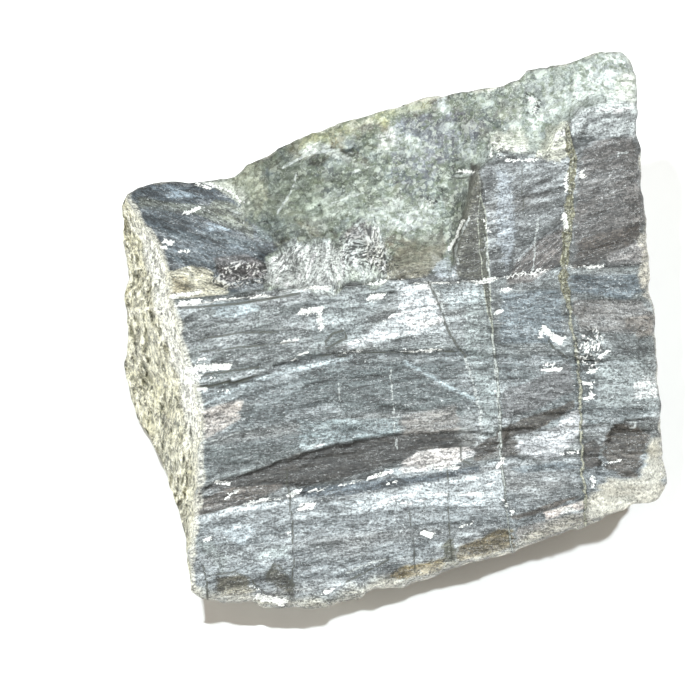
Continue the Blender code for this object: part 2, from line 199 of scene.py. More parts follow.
behind = rounded(up - line_at(KNEE, inside), KNEE_ROUND)
out -= behind * line_at(CROWN_FALL, inside)
out -= line_at(HACKLE_DROP, inside) * np.clip(behind / HACKLE_REACH, 0.0, 1.0)
on_crown = np.clip(behind / 2, 0.0, 1.0)
sunk = ramp(line_at(SUNK_FACET, up) - inside, SUNK_FACET_RUN) * on_crown
out -= SUNK_FACET_DEPTH * sunk
face_point = flat(inside, up)
lumps = rough(face_point, CROWN_LUMP, seed=0) + 0.6 * rough(face_point, CROWN_LUMP / 2.3, seed=3)
out += CROWN_LUMP_RISE * lumps * on_crown * (1 - 0.7 * sunk)

# ---------------------------------------------------------------------------------------------
# What the face has lost. Flakes are gone from its sheets and bites from its lower edge, its right
# side and rim are worn round, and two cracks run up it: a tight one, and an open seam.
# ---------------------------------------------------------------------------------------------
# Flakes: across, up, half length, half height, depth.
FLAKES = [(21.2, -8.6, 4.0, 2.0, 0.55), (30.3, -11.2, 2.6, 2.7, 0.6), (-13.8, -8.2, 2.8, 2.3, 0.35),
          (28.6, 3.6, 3.4, 2.2, 0.35), (28.4, 24.6, 2.9, 1.7, 0.5), (-14.6, 8.2, 3.4, 1.7, 0.45)]
FLAKE_LEAN, FLAKE_RUN = 0.35, 0.5
# Bites: from, to, and how far up they reach.
EDGE_BITES = [(-15.6, -10.4, 2.9), (-10.4, -5.8, 4.2), (3.6, 11.4, 3.4), (11.4, 18.6, 3.2),
              (18.6, 27.0, 3.6)]
BITE_FALL, BITE_SIDE = 0.55, 1.6
SHOULDER, SHOULDER_DROP = 3.5, 1.6
EDGE_ROUND, EDGE_DROP = 0.9, 0.5
LONG_CRACK_SIZE, SEAM_CRACK_SIZE = (0.45, 0.3), (0.9, 0.4)


def groove(line, size):
    """Depth of a V-shaped crack that runs up along a line."""
    width, depth = size
    return depth * np.clip(1 - np.abs(across - line_at(line, up, 1)) / (width / 2), 0.0, 1.0)


for flake_across, flake_up, length, height, depth in FLAKES:
    from_middle = inside - flake_across - FLAKE_LEAN * (up - flake_up)
    to_side = np.minimum(length - np.abs(from_middle), height - np.abs(up - flake_up))
    out -= depth * np.clip(to_side / FLAKE_RUN, 0.0, 1.0)
above_edge = up - line_at(LOWER_EDGE, across)
for start, end, reach in EDGE_BITES:
    side = np.clip(np.minimum(inside - start, end - inside) / BITE_SIDE + 0.5, 0.0, 1.0)
    out -= BITE_FALL * side * np.maximum(reach - above_edge, 0.0)
from_right = line_at(RIGHT_EDGE, up, 1) - across
out -= SHOULDER_DROP * np.clip(1 - from_right / SHOULDER, 0.0, 1.0) ** 2
to_edge = np.minimum(np.minimum(above_edge, line_at(UPPER_EDGE, across) - up), from_right)
out -= EDGE_DROP * np.clip(1 - to_edge / EDGE_ROUND, 0.0, 1.0) ** 2
out -= groove(LONG_CRACK, LONG_CRACK_SIZE)
out -= groove(SEAM_CRACK, SEAM_CRACK_SIZE)

# ---------------------------------------------------------------------------------------------
# The rind. The steep left face is an old joint in the rock, where the feldspar has turned to a
# cream, granular crust. It falls from its corner to a foot just above the ground.
# ---------------------------------------------------------------------------------------------
FACE_PITCH = math.radians(65.0)      # the face's normal stands this far above the horizon
FACE_HEIGHT = 19.4                   # the middle of the face above the surface the lump lies on
RIND_FALL, RIND_ROUND, RIND_FOOT = 2.2, 0.5, 1.5
RIND_LUMP, RIND_LUMP_RISE = 4.5, 1.3

past_corner = corner - across
on_rind = np.clip(past_corner / 2, 0.0, 1.0)
out -= RIND_FALL * rounded(past_corner, RIND_ROUND)
rind_point = np.stack([np.zeros(len(up)), up, out], axis=1)
lumps = rough(rind_point, RIND_LUMP, seed=6) + 0.5 * rough(rind_point, RIND_LUMP / 2.2, seed=7)
out += RIND_LUMP_RISE * lumps * on_rind
lowest = (RIND_FOOT - FACE_HEIGHT - up * math.cos(FACE_PITCH)) / math.sin(FACE_PITCH)
out = np.maximum(out, lowest)

# ---------------------------------------------------------------------------------------------
# The walls. Broken sides that lean in below the edge down to the flat underside: hollow flake
# scars with sharp ridges between them, stepped where sheets end.
# ---------------------------------------------------------------------------------------------
WALL_ROWS = 24
LOWER_LEAN, UPPER_LEAN, LEFT_LEAN, RIGHT_LEAN = 0.22, 0.46, 0.22, 0.14
SCAR_SIZE, SCAR_DEPTH, SCAR_EVEN = 9.0, 2.6, 0.75
CHIP_SIZE, CHIP_DEPTH, CHIP_EVEN = 2.6, 0.5, 0.6
WALL_GRAIN, WALL_GRAIN_RISE = 1.1, 0.25
LAYER, LAYER_STEP = 4.3, 0.8
PROUDEST = 0.6                       # no ridge stands out further than this
FADE = 3.0                           # the scars grow from nothing over this much below the rim
FOOT_ROUND, FOOT_INSET = 2.4, 1.6


def stand_up(across, up, out):
    """Turn face coordinates into upright ones, z = 0 on the surface the lump lies on."""
    back = up * math.sin(FACE_PITCH) - out * math.cos(FACE_PITCH)
    height = up * math.cos(FACE_PITCH) + out * math.sin(FACE_PITCH) + FACE_HEIGHT
    return np.stack([across, back, height], axis=1)


def scars(points, size, seed):
    """Hollow scars: the distance, in sizes, to the nearest of a set of scattered middles."""
    table = np.random.default_rng(STONE_SEED + seed).uniform(0.0, 1.0, (16, 16, 16, 3))
    place = points / size
    cell = np.floor(place).astype(int)
    nearest = np.full(len(points), 9.0)
    for step in np.ndindex(3, 3, 3):
        near_cell = cell + np.array(step) - 1
        middle = near_cell + table[tuple((near_cell % 16).T)]
        nearest = np.minimum(nearest, np.linalg.norm(place - middle, axis=1))
    return nearest


smooth_front = stand_up(across, up, out)
number = np.arange(len(across)).reshape(COURSES, -1)
rim = np.concatenate([number[0, :-1], number[:-1, -1], number[-1, :0:-1], number[:0:-1, 0]])
rim_count = len(rim)
level = np.repeat(1 - (np.arange(1, WALL_ROWS + 1) / WALL_ROWS), rim_count)
wall_rim = np.tile(rim, WALL_ROWS)
lean_across = LEFT_LEAN * (1 - column[wall_rim]) - RIGHT_LEAN * column[wall_rim]
lean_up = LOWER_LEAN * (1 - course[wall_rim]) - UPPER_LEAN * course[wall_rim]
rim_height = smooth_front[wall_rim, 2]
deep = rim_height / (math.sin(FACE_PITCH) - lean_up * math.cos(FACE_PITCH)) * (1 - level)
wall_out = out[wall_rim] - deep
wall = stand_up(across[wall_rim] + lean_across * deep, up[wall_rim] + lean_up * deep, wall_out)
outward = wall[:, :2] - smooth_front[:, :2].mean(axis=0)
outward /= np.linalg.norm(outward, axis=1)[:, None]

layer = wall_out / LAYER + 0.6 * rough(wall, 3 * LAYER, seed=4)
lying = np.stack([np.floor(layer) * 5.0, wall[:, 0] / LAYER / 3, wall[:, 1] / LAYER / 3], axis=1)
ridge = scars(wall, SCAR_SIZE, seed=1) - SCAR_EVEN
relief = SCAR_DEPTH * ridge + LAYER_STEP * rough(lying, 1.0, seed=5)
fade = np.clip(rim_height * (1 - level) / FADE, 0.0, 1.0)
relief = np.minimum(relief, PROUDEST) * fade
chips = CHIP_DEPTH * (scars(wall, CHIP_SIZE, seed=21) - CHIP_EVEN)
relief += fade * (chips + WALL_GRAIN_RISE * rough(wall, WALL_GRAIN, seed=22))
relief -= FOOT_INSET * np.clip(1 - wall[:, 2] / FOOT_ROUND, 0.0, 1.0) ** 2
wall[:, :2] += outward * relief[:, None]
wall[level < 0.001, 2] = 0.0

# ---------------------------------------------------------------------------------------------
# Fine breakage. Split stone ends in thin plates along its layers, each one level and tilted a
# little from its neighbours. The crown is broken into grains and the rind into crumbs, and at the
# crown's foot the ends of the torn sheets stand up as splinters.
# ---------------------------------------------------------------------------------------------
BLOCK_TILT, BROWN_TILT, FACET_TILT = math.radians(14), math.radians(36), math.radians(-21)
SPLINTER_TILT = math.radians(76)
LAYER_RISE, LAYER_BEND = 0.10, 0.0022
WIDE_PLATE, SMALL_PLATE = (6.5, 1.5, 1.0), (2.4, 0.55, 1.0)
PATCH, GRAIN, SPECK = (5.0, 3.6, 1.0), (2.1, 1.5, 1.0), (0.9, 0.7, 1.0)
RIND_GRAIN, CRUMB, RIND_WAVE = (1.0, 1.3, 1.1), (1.0, 0.6, 0.5), 0.9
WIDE_STEP, SMALL_STEP, GRAIN_RISE, SPECK_RISE = 0.12, 0.08, 0.55, 0.25
RIND_GRAIN_RISE, CRUMB_RISE, RIND_WAVE_RISE = 0.6, 0.3, 0.5
SLATE_END = 1.9                      # the dark slate ends this far short of the sunk facet
# The lower ledges to the right of this get less painted shade and no white or dark line along them.
HEALED_FROM, HEALED_RUN = 13.0, 3.0  # to the right of this the lower ledges are tight and unworn
LEANING = [(17.1, 7.6), (18.1, 10.2), (21.0, 12.5), (23.6, 14.3), (23.6, 7.6)]
SPLINTERED = [(-10.0, 6.0), (-9.6, 10.0), (-6.5, 12.6), (-2.0, 11.8), (1.0, 14.6), (3.6, 13.6),
              (4.2, 9.6), (4.4, 7.0)]
# A spike of dark stone left standing beside the block, and smooth torn stone to its left.
SPIKE = [(13.3, 20.7), (14.1, 20.4), (14.5, 18.5), (14.6, 14.0), (15.2, 7.0), (11.9, 7.9),
         (11.2, 11.0), (12.1, 14.3), (12.9, 16.8)]
TORN_STONE = [(4.8, 11.4), (7.4, 12.4), (10.2, 12.8), (10.9, 10.4), (10.4, 7.6), (4.6, 7.6)]


def beside(line, places):
    """Distance of each place from a broken line: from the nearest point of each of its pieces."""
    ends = np.array(line)
    way = ends[1:] - ends[:-1]
    to_place = places[:, None] - ends[:-1]
    share = np.clip((to_place * way).sum(axis=2) / (way * way).sum(axis=1), 0.0, 1.0)
    return np.linalg.norm(to_place - share[..., None] * way, axis=2).min(axis=1)


def within(outline, places):
    """How far inside a closed outline each place lies, negative outside. A place is inside when a
    line to its right crosses the outline an odd number of times."""
    start = np.array(outline)
    end = np.roll(start, -1, axis=0)
    reach = end - start
    height = np.where(reach[:, 1] == 0, 1.0, reach[:, 1])
    crosses = (start[:, 1] > places[:, 1:]) != (end[:, 1] > places[:, 1:])
    crossing = start[:, 0] + (places[:, 1:] - start[:, 1]) * reach[:, 0] / height
    inside = (crosses & (places[:, :1] < crossing)).sum(axis=1) % 2 == 1
    return np.where(inside, 1.0, -1.0) * beside(outline + outline[:1], places)


def turned(angle, points):
    """Coordinates along and athwart layers that rise to the right by an angle."""
    return flat(points[:, 0] * math.cos(angle) + points[:, 1] * math.sin(angle),
                points[:, 1] * math.cos(angle) - points[:, 0] * math.sin(angle))


def plates(points, size, seed):
    """Flat plates packed side by side: each point takes the brightness and the tilt of the plate
    whose middle is nearest. Returns the brightness and the height, both about -1 to 1."""
    table = np.random.default_rng(STONE_SEED + seed).uniform(0.0, 1.0, (16, 16, 16, 6))
    place = points / size
    cell = np.floor(place).astype(int)
    nearest = np.full(len(points), 9.0)
    shade, height = np.zeros(len(points)), np.zeros(len(points))
    for step in np.ndindex(3, 3, 3):
        near_cell = cell + np.array(step) - 1
        values = table[tuple((near_cell % 16).T)]
        offset = place - near_cell - values[:, :3]
        far = np.linalg.norm(offset, axis=1)
        closer = far < nearest
        tilted = ((values[:, 3:] - 0.5) * offset).sum(axis=1)
        nearest = np.where(closer, far, nearest)
        shade = np.where(closer, values[:, 3] * 2 - 1, shade)
        height = np.where(closer, values[:, 4] - 0.5 + 1.6 * tilted, height)
    return shade, height


def smoothed(values, reach):
    """The mean of the net's values over the square of neighbours within a reach."""
    grid = np.pad(values.reshape(COURSES, -1), reach, mode="edge")
    rows, columns = COURSES, RIND_COLUMNS + FACE_COLUMNS
    steps = list(np.ndindex(2 * reach + 1, 2 * reach + 1))
    return sum(grid[i:i + rows, j:j + columns] for i, j in steps).ravel() / len(steps)


# Where each kind of stone lies: crusted rind, split layers, the slate facet, splinters, broken.
on_net = flat(across, up)
shaking = np.stack([rough(face_point, 2.0, seed=76), rough(face_point, 2.0, seed=77), 0 * up], axis=1)
shaken = face_point + 0.9 * shaking
crusted = ramp(past_corner - 0.25 + 0.35 * rough(on_net, 1.6, seed=75), 0.3)
on_face = (1 - on_crown) * (1 - crusted)
in_block = (above_top > 0) & (on_crown < 0.5)
ragged = 0.9 * rough(face_point, 2.4, seed=79) + 0.4 * rough(face_point, 0.9, seed=80)
in_slate = ramp(line_at(SUNK_FACET, up) - SLATE_END - inside + ragged, 0.6)
in_slate *= np.clip(3 * on_crown, 0.0, 1.0)
broken = on_crown * (1 - in_slate) * (1 - crusted)
in_splinters = within(SPLINTERED, face_point[:, :2] + 1.1 * ragged[:, None])
splintered = in_splinters > 0

# The layers' own coordinates, along and athwart, in each of these places.
lamella = flat(across, up - LAYER_RISE * across + LAYER_BEND * across ** 2)
lamella = np.where(in_block[:, None], turned(BLOCK_TILT, on_net), lamella)
lamella = np.where((within(LEANING, on_net[:, :2]) > 0)[:, None], turned(BROWN_TILT, on_net), lamella)
lamella = np.where((sunk > 0.2)[:, None], turned(FACET_TILT, on_net), lamella)
lamella = np.where((crusted > 0.5)[:, None], flat(up, 1.7 * across), lamella)
lamella = np.where(splintered[:, None], turned(SPLINTER_TILT, shaken), lamella)
in_slate = np.where(splintered, 0.0, in_slate)
broken = np.where(splintered, 0.0, broken)
layered = np.maximum(np.maximum(on_face, in_slate * (1 - crusted)), splintered)

wide_shade, wide_height = plates(lamella, WIDE_PLATE, seed=51)
small_shade, small_height = plates(lamella, SMALL_PLATE, seed=52)
patch_shade, _ = plates(shaken, PATCH, seed=50)
grain_shade, grain_height = plates(shaken, GRAIN, seed=53)
speck_shade, speck_height = plates(face_point, SPECK, seed=54)
rind_shade, rind_height = plates(rind_point, RIND_GRAIN, seed=55)
crumb_shade, crumb_height = plates(rind_point, CRUMB, seed=85)

# Ragged copies of the face's coordinates: marks on layered stone end in fingers along the layers.
fingers = 0.35 * rough(lamella, (2.0, 0.30, 1.0), seed=61)
fingers += 0.25 * rough(lamella, (0.8, 0.25, 1.0), seed=62)
even = 0.45 * rough(face_point, 1.3, seed=64) + 0.25 * rough(face_point, 0.5, seed=65)
even_up = 0.45 * rough(face_point, 1.3, seed=66) + 0.25 * rough(face_point, 0.5, seed=67)
places = np.stack([across + np.where(broken > 0.5, even, fingers),
                   up + np.where(broken > 0.5, even_up, 0.12 * fingers)], axis=1)
exact = np.stack([across + 0.3 * fingers, up], axis=1)
spike = ramp(within(SPIKE, exact), 0.2)
broken = broken * (1 - spike) * (1 - 0.7 * ramp(within(TORN_STONE, places), 0.6))

out += (WIDE_STEP * wide_height + SMALL_STEP * small_height) * layered
out += (GRAIN_RISE * grain_height + SPECK_RISE * speck_height) * broken
rind_wave = RIND_WAVE_RISE * rough(rind_point, RIND_WAVE, seed=36)
out += (RIND_GRAIN_RISE * rind_height + CRUMB_RISE * crumb_height + rind_wave) * on_rind

# Painted shade: the colour is darkened where the net lies lower than its neighbours, and a
# painted highlight lightens it where it stands higher; least where ledges are tight.
healed = ramp(across - HEALED_FROM, HEALED_RUN)
from_seam_line = np.abs(across - line_at(SEAM_CRACK, up, 1))
painted_relief_shade = np.clip(smoothed(out, 3) - out, -0.15, 0.15)
painted_relief_shade *= 1 - 0.65 * healed * on_face * (above_top < -1)
painted_relief_shade *= 1 - broken * ramp(1.0 - from_seam_line, 0.5)
painted_relief_shade = np.where(broken > 0.5, np.maximum(painted_relief_shade, -0.05), painted_relief_shade)

# ---------------------------------------------------------------------------------------------
# The bare stone's colours. Plagioclase is a bluish grey that differs a little from sheet to sheet
# and is streaked along its layers. Iron has warmed some of it. Altered by water, the crown has gone
# grey-green, in grains of several hues, and paler to the right.
# ---------------------------------------------------------------------------------------------
TOP_GREY, TOE_GREY, BAND_GREY, MIDDLE_GREY = "#757b7b", "#888f92", "#6b6f6e", "#737b7d"
BLOCK_GREY, SLATE_BLUE = "#585b5b", "#414b53"
TORN_GREY, SPLINTER_WHITE = "#7f887c", "#c3cac1"
WARM_GREY, LIGHT_GREY, SLATE = "#89837c", "#cfd6d9", "#4a5153"
CROWN_GREY_GREEN, CROWN_DARK, CROWN_PALE = "#737e70", "#565f50", "#d3ddd8"
CROWN_GRAINS = ["#566154", "#8c917a", "#75827a", "#626e76", "#a9b3b2", "#827868", "#868f8c", "#687060"]
TINT_BLUR = 0.3


def linear(code):
    """A hex sRGB colour as linear red, green, blue and 1."""
    parts = [int(code[i:i + 2], 16) / 255 for i in (1, 3, 5)]
    return [p / 12.92 if p <= 0.04045 else ((p + 0.055) / 1.055) ** 2.4 for p in parts] + [1.0]


def paint(colours, colour, weight):
    """Blend a colour into the colours of the net's points, by a weight for each."""
    colours += (np.array(linear(colour)[:3]) - colours) * weight[:, None]


tint = np.tile(linear(TOP_GREY)[:3], (len(across), 1))
paint(tint, TOE_GREY, ramp(-above_toe, TINT_BLUR))
paint(tint, BAND_GREY, ramp(above_toe, TINT_BLUR) * ramp(-above_band, TINT_BLUR))
paint(tint, MIDDLE_GREY, ramp(above_band, TINT_BLUR) * ramp(-above_middle, TINT_BLUR))
paint(tint, BLOCK_GREY, in_block.astype(float))
paint(tint, SLATE_BLUE, in_slate)
paint(tint, TORN_GREY, splintered.astype(float))
paint(tint, SPLINTER_WHITE, ramp(in_splinters - 0.8, 1.6))

streaks = rough(lamella, (3.5, 0.5, 1.0), seed=56) + 0.8 * rough(lamella, (1.4, 0.3, 1.0), seed=57)
cloud = rough(face_point, 5.0, seed=58) + 0.7 * rough(face_point, 2.0, seed=59)
light = 0.30 * wide_shade + 0.28 * streaks + 0.16 * cloud
warm = np.clip(rough(lamella, (7.0, 1.6, 1.0), seed=60), 0.0, 1.0)
paint(tint, WARM_GREY, 0.4 * warm * on_face)
paint(tint, LIGHT_GREY, np.clip(light, 0.0, 0.8) * layered)
paint(tint, SLATE, np.clip(-light, 0.0, 0.8) * layered)

paint(tint, CROWN_GREY_GREEN, broken)
grain_colours = np.array([linear(colour)[:3] for colour in CROWN_GRAINS])
for shade, amount in ((patch_shade, 0.6), (grain_shade, 0.5), (speck_shade, 0.25)):
    picked = grain_colours[((shade + 1) / 2 * (len(CROWN_GRAINS) - 0.01)).astype(int)]
    tint += (picked - tint) * (amount * broken)[:, None]
paint(tint, CROWN_DARK, 0.45 * broken * ramp(-across + 1.5 * cloud, 9.0))
paint(tint, CROWN_PALE, 0.5 * broken * ramp(across - 15.0 + 1.5 * cloud, 9.0))

# ---------------------------------------------------------------------------------------------
# The sheets. Painted sheen: where the sheets catch the light they shine bluish white, and that
# shine is painted into their colour; between them the stone is dark, and iron stains others brown.
# Two chips of pink feldspar lie below the middle, and the lower right corner is cloudy and altered.
# ---------------------------------------------------------------------------------------------
SHEET_BLUR = 0.6
RIM_WARM, CLOUDY_WHITE, CLOUDY_TAN = "#c4bfae", "#e4e2d6", "#a39a86"
# Each sheet: its colour, how strongly it shows, how soft its edge is in mm, and its outline.
# Bright sheets: mostly painted sheen, the light the cleavage sheets reflect, and a few paler patches of
# stone.
SHEEN_AND_PALE_SHEETS = [
    ("#f1f8fb", 0.85, 0.5, [(5.3, 7.0), (8.6, 7.3), (9.7, 5.5), (10.6, 2.2), (5.5, 1.6), (2.4, 0.9),
                            (0.0, 0.0), (-0.2, 0.6), (2.0, 2.0), (3.5, 3.1), (5.5, 4.2)]),
    ("#cfdadd", 0.60, 0.6, [(9.9, 6.6), (14.3, 7.3), (14.7, 5.5), (11.0, 4.4)]),
    ("#e6eff3", 0.68, 0.6, [(-1.1, -18.1), (1.1, -16.3), (5.5, -15.2), (12.1, -14.1), (16.5, -13.2),
                            (17.1, -15.4), (16.5, -17.1), (7.2, -17.1), (0.6, -18.1)]),
    ("#dbe7ee", 0.85, 0.4, [(-14.3, -20.1), (-12.7, -19.4), (-10.4, -19.6), (-11.6, -21.6)]),
    ("#bccbd1", 0.60, 0.6, [(-14.8, 5.0), (-11.0, 5.2), (-9.7, 4.6), (-12.1, 3.5), (-14.8, 3.7)]),
    ("#d5e0e0", 0.70, 0.4, [(-10.1, -22.2), (-7.2, -21.4), (-6.4, -22.6), (-10.1, -23.1)]),
    ("#d5e3e6", 0.70, 0.4, [(-5.7, -9.9), (-2.2, -9.0), (-0.6, -9.5), (-3.3, -10.6), (-5.5, -11.0)]),
    ("#c3cccc", 0.40, 0.8, [(26.8, -0.6), (33.6, -0.8), (33.8, -6.4), (27.2, -6.2)]),
    ("#b9c4c6", 0.35, 1.0, [(-4.5, 5.5), (4.0, 6.5), (1.0, 1.0), (-4.0, 0.5)]),
    ("#f2f7f7", 0.9, 0.5, [(31.1, -3.9), (32.5, -2.8), (34.0, -3.1), (34.1, -5.3), (31.2, -5.3)]),
    ("#d9dcdf", 0.85, 0.3, [(17.8, -11.2), (18.7, -9.9), (20.4, -9.6), (22.6, -8.4), (24.4, -6.8),
                            (25.3, -6.0), (25.5, -8.8), (23.3, -11.6), (21.4, -12.2)]),
    ("#8b9a9d", 0.60, 0.4, [(-5.5, -7.7), (5.5, -7.5), (5.5, -9.2), (-0.6, -10.0), (-5.5, -10.6)]),
    ("#b3bfbe", 0.40, 0.8, [(13.4, 7.0), (15.0, 7.0), (16.0, -2.0), (16.6, -12.0), (14.9, -12.0),
                            (14.4, -6.0), (13.0, -1.0), (12.6, 2.5)]),
    ("#bfc9d2", 0.55, 0.5, [(16.2, 19.8), (17.8, 19.6), (18.1, 12.1), (17.1, 8.8), (16.2, 12.1)]),
]
DARK_SHEETS = [
    ("#5f6869", 0.75, 0.4, [(-2.2, -1.3), (6.6, -1.3), (12.1, -1.8), (12.4, -7.2), (6.0, -6.6),
                            (0.0, -7.0), (-5.5, -5.0), (-5.5, -2.8)]),
    ("#48525a", 0.90, 0.2, [(-5.5, -15.1), (-1.1, -14.8), (3.9, -14.2), (9.9, -13.5), (14.3, -12.7),
                            (14.1, -13.4), (9.9, -14.3), (3.9, -15.3), (-1.1, -16.1), (-5.5, -16.2)]),
    ("#7f8885", 0.70, 0.2, [(-18.7, -0.7), (-16.5, 0.6), (-16.5, -1.3)]),
    ("#5f6968", 0.80, 0.15, [(-15.9, -2.6), (-11.6, -1.8), (-9.7, -1.8), (-13.8, -3.0)]),
    ("#67706f", 0.80, 0.15, [(-16.2, -3.5), (-11.6, -3.3), (-12.3, -4.4), (-14.8, -4.2)]),
    ("#7b8890", 0.65, 0.5, [(16.5, 6.2), (23.1, 6.6), (23.6, 0.8), (16.5, 0.8)]),
    ("#5c6870", 0.80, 0.3, [(24.4, 8.2), (31.5, 8.4), (31.9, 6.6), (30.6, 5.5), (24.4, 6.4)]),
    ("#7a868d", 0.70, 0.2, [(17.1, -13.0), (23.1, -12.3), (25.5, -13.0), (18.7, -13.6)]),
    ("#d5d6c6", 0.75, 0.3, [(20.6, 21.2), (21.6, 24.8), (24.0, 25.2), (24.0, 21.4), (23.0, 20.6)]),
    ("#b9bfbf", 0.90, 0.25, [(24.4, 23.5), (24.6, 26.6), (32.0, 27.4), (32.2, 23.8), (27.5, 23.3)]),
    ("#737c7f", 0.25, 0.8, [(-16.5, -19.4), (-7.5, -18.6), (-6.6, -23.0), (-16.8, -23.5)]),
    ("#5c6363", 0.75, 0.5, [(-16.0, -10.5), (-9.0, -10.4), (-5.0, -10.8), (-5.5, -11.4), (-9.7, -13.0),
                            (-13.4, -14.5), (-16.2, -14.8)]),
    ("#625f60", 0.60, 0.5, [(16.7, -4.5), (20.0, -3.4), (24.2, -1.2), (24.6, -4.5), (20.5, -6.6),
                            (16.7, -7.6)]),
    ("#6f7878", 0.80, 0.15, [(-2.8, 0.9), (-2.0, 1.8), (-0.7, 2.1), (-0.3, 1.1), (-2.4, 0.0)]),
    ("#5d5f52", 0.90, 0.2, [(10.2, -21.4), (11.0, -20.7), (11.7, -21.8), (11.9, -23.8), (10.1, -23.1)]),
    ("#8a9390", 0.60, 0.3, [(-17.1, -20.9), (-14.8, -21.2), (-13.4, -22.7), (-14.1, -24.8)]),
]
BROWN_SHEETS = [
    ("#2f2b27", 0.87, 0.6, [(-16.8, -15.3), (-13.4, -14.3), (-9.7, -12.9), (-5.5, -11.2),
                            (-0.6, -10.2), (5.0, -9.3), (11.8, -9.0), (12.1, -10.6), (7.5, -11.3),
                            (5.5, -12.3), (-0.6, -14.1), (-5.5, -15.1), (-11.2, -14.9), (-14.0, -15.4)]),
    ("#6a625b", 0.80, 0.25, [(-16.7, -16.5), (-13.2, -15.1), (-6.6, -14.7), (-9.7, -16.4),
                             (-16.9, -18.3)]),
    ("#4a453e", 0.92, 0.15, [(13.6, -10.9), (16.7, -8.7), (18.9, -7.6), (22.8, -6.3), (25.1, -5.4),
                             (23.8, -7.0), (21.9, -8.0), (20.4, -9.0), (18.1, -9.4), (16.2, -11.0),
                             (13.8, -12.4)]),
    ("#54504b", 0.80, 0.25, [(13.2, -10.8), (16.5, -9.2), (18.4, -9.9), (18.4, -11.6), (13.6, -12.3)]),
    ("#484440", 0.95, 0.15, [(25.5, -10.8), (26.4, -9.9), (27.5, -10.1), (27.5, -12.7), (26.4, -13.1),
                             (25.6, -12.8)]),
    ("#5b5650", 0.92, 0.15, [(27.9, -9.6), (29.3, -8.1), (30.6, -8.0), (32.2, -8.9), (33.0, -9.5),
                             (32.0, -11.9), (31.6, -14.1), (29.9, -14.0), (28.2, -12.8)]),
    ("#8a8580", 0.60, 0.3, [(6.0, -7.2), (11.6, -6.0), (12.1, -8.8), (6.0, -9.6)]),
    ("#cdc5be", 0.80, 0.4, [(-16.2, -6.6), (-12.1, -5.5), (-12.1, -7.6), (-15.9, -9.8)]),
    ("#86827f", 0.65, 0.4, [(24.2, 5.5), (31.9, 5.5), (33.5, 3.5), (33.5, 1.6), (25.3, 2.2)]),
    ("#80786f", 0.60, 0.3, [(30.2, 3.5), (33.5, 3.9), (33.5, 1.6), (31.4, 1.3)]),
    ("#5f5a48", 0.80, 0.5, [(-14.6, -25.1), (-11.9, -24.6), (-10.4, -26.6), (-14.5, -27.2)]),
    ("#55544a", 0.85, 0.35, [(-9.7, -25.3), (-8.2, -23.5), (-6.3, -25.5), (-6.4, -27.5), (-8.8, -25.5)]),
    ("#776a48", 0.90, 0.2, [(4.2, -24.8), (5.9, -23.8), (10.3, -22.9), (10.3, -24.2), (5.5, -25.3)]),
    ("#695f46", 0.90, 0.2, [(11.9, -21.8), (16.5, -19.6), (17.8, -19.8), (18.0, -21.8), (11.9, -23.3)]),
    ("#544e48", 0.90, 0.15, [(17.9, -18.3), (22.9, -16.5), (25.6, -15.9), (22.2, -17.5), (18.3, -18.7)]),
    ("#b3afaa", 0.65, 0.3, [(18.3, -19.6), (25.6, -17.8), (27.5, -17.6), (26.4, -18.9), (18.4, -21.3)]),
    ("#65605d", 0.65, 0.4, [(25.5, 22.0), (27.5, 23.1), (31.4, 23.5), (32.2, 17.6), (32.6, 13.8),
                            (28.8, 11.0), (24.8, 9.0), (24.8, 14.8)]),
    ("#48413b", 0.85, 0.2, [(25.3, 12.3), (32.1, 14.1), (31.9, 12.1), (27.5, 9.7), (24.4, 8.8)]),
    ("#6f6763", 0.70, 0.4, [(17.1, 7.2), (18.1, 9.7), (20.9, 12.1), (23.6, 13.8), (23.6, 9.9),
                            (19.8, 7.4)]),
    ("#cbc5b6", 0.70, 0.4, [(31.9, 13.0), (32.9, 12.5), (33.3, 8.0), (32.6, 5.5), (31.8, 8.0)]),
    ("#a6a2a0", 0.70, 0.25, [(28.1, 9.4), (28.6, 10.6), (31.9, 12.0), (32.2, 9.6)]),
]
PINK_CHIPS = [
    ("#f4eeea", 0.96, 0.15, [(5.3, -13.2), (6.2, -12.1), (7.7, -11.2), (9.9, -10.8), (13.2, -10.7),
                             (13.6, -11.6), (11.0, -12.8), (6.4, -13.5)]),
    ("#efe5df", 0.95, 0.12, [(21.2, -17.9), (25.6, -16.6), (25.9, -17.4), (21.7, -18.6)]),
]
CLOUDY_CORNER = [(25.6, -16.5), (27.5, -15.4), (28.1, -14.1), (30.3, -14.3), (31.9, -14.1),
                 (32.8, -11.6), (33.0, -9.9), (34.1, -9.7), (34.5, -13.2), (34.7, -15.4),
                 (33.6, -17.1), (30.3, -17.8), (25.9, -18.5)]
# Painted highlights: pale lines where small steps between the layers catch the light: colour,
# half width, and the line.
HIGHLIT_STEPS = [
    ("#cfdbdf", 0.20, [(-16.5, -6.4), (-14.8, -5.3), (-9.7, -3.1), (-5.5, -2.0), (0.2, -0.8)]),
    ("#b9c8cd", 0.18, [(6.0, -1.3), (8.8, -2.8), (11.0, -4.2), (14.1, -5.5)]),
]


def lay_sheets(sheets):
    """Paint sheets on the stone, each inside its outline, fading over its soft edge."""
    for colour, strength, softness, outline in sheets:
        paint(tint, colour, strength * ramp(within(outline, places), SHEET_BLUR * softness))


# The bright sheets are mostly painted sheen.
lay_sheets(SHEEN_AND_PALE_SHEETS + DARK_SHEETS + BROWN_SHEETS + PINK_CHIPS)
rim_reach = 1.1 + 0.7 * rough(lamella, (2.0, 0.8, 1.0), seed=89)
paint(tint, RIM_WARM, 0.55 * ramp(rim_reach - above_edge, 1.0) * on_face)
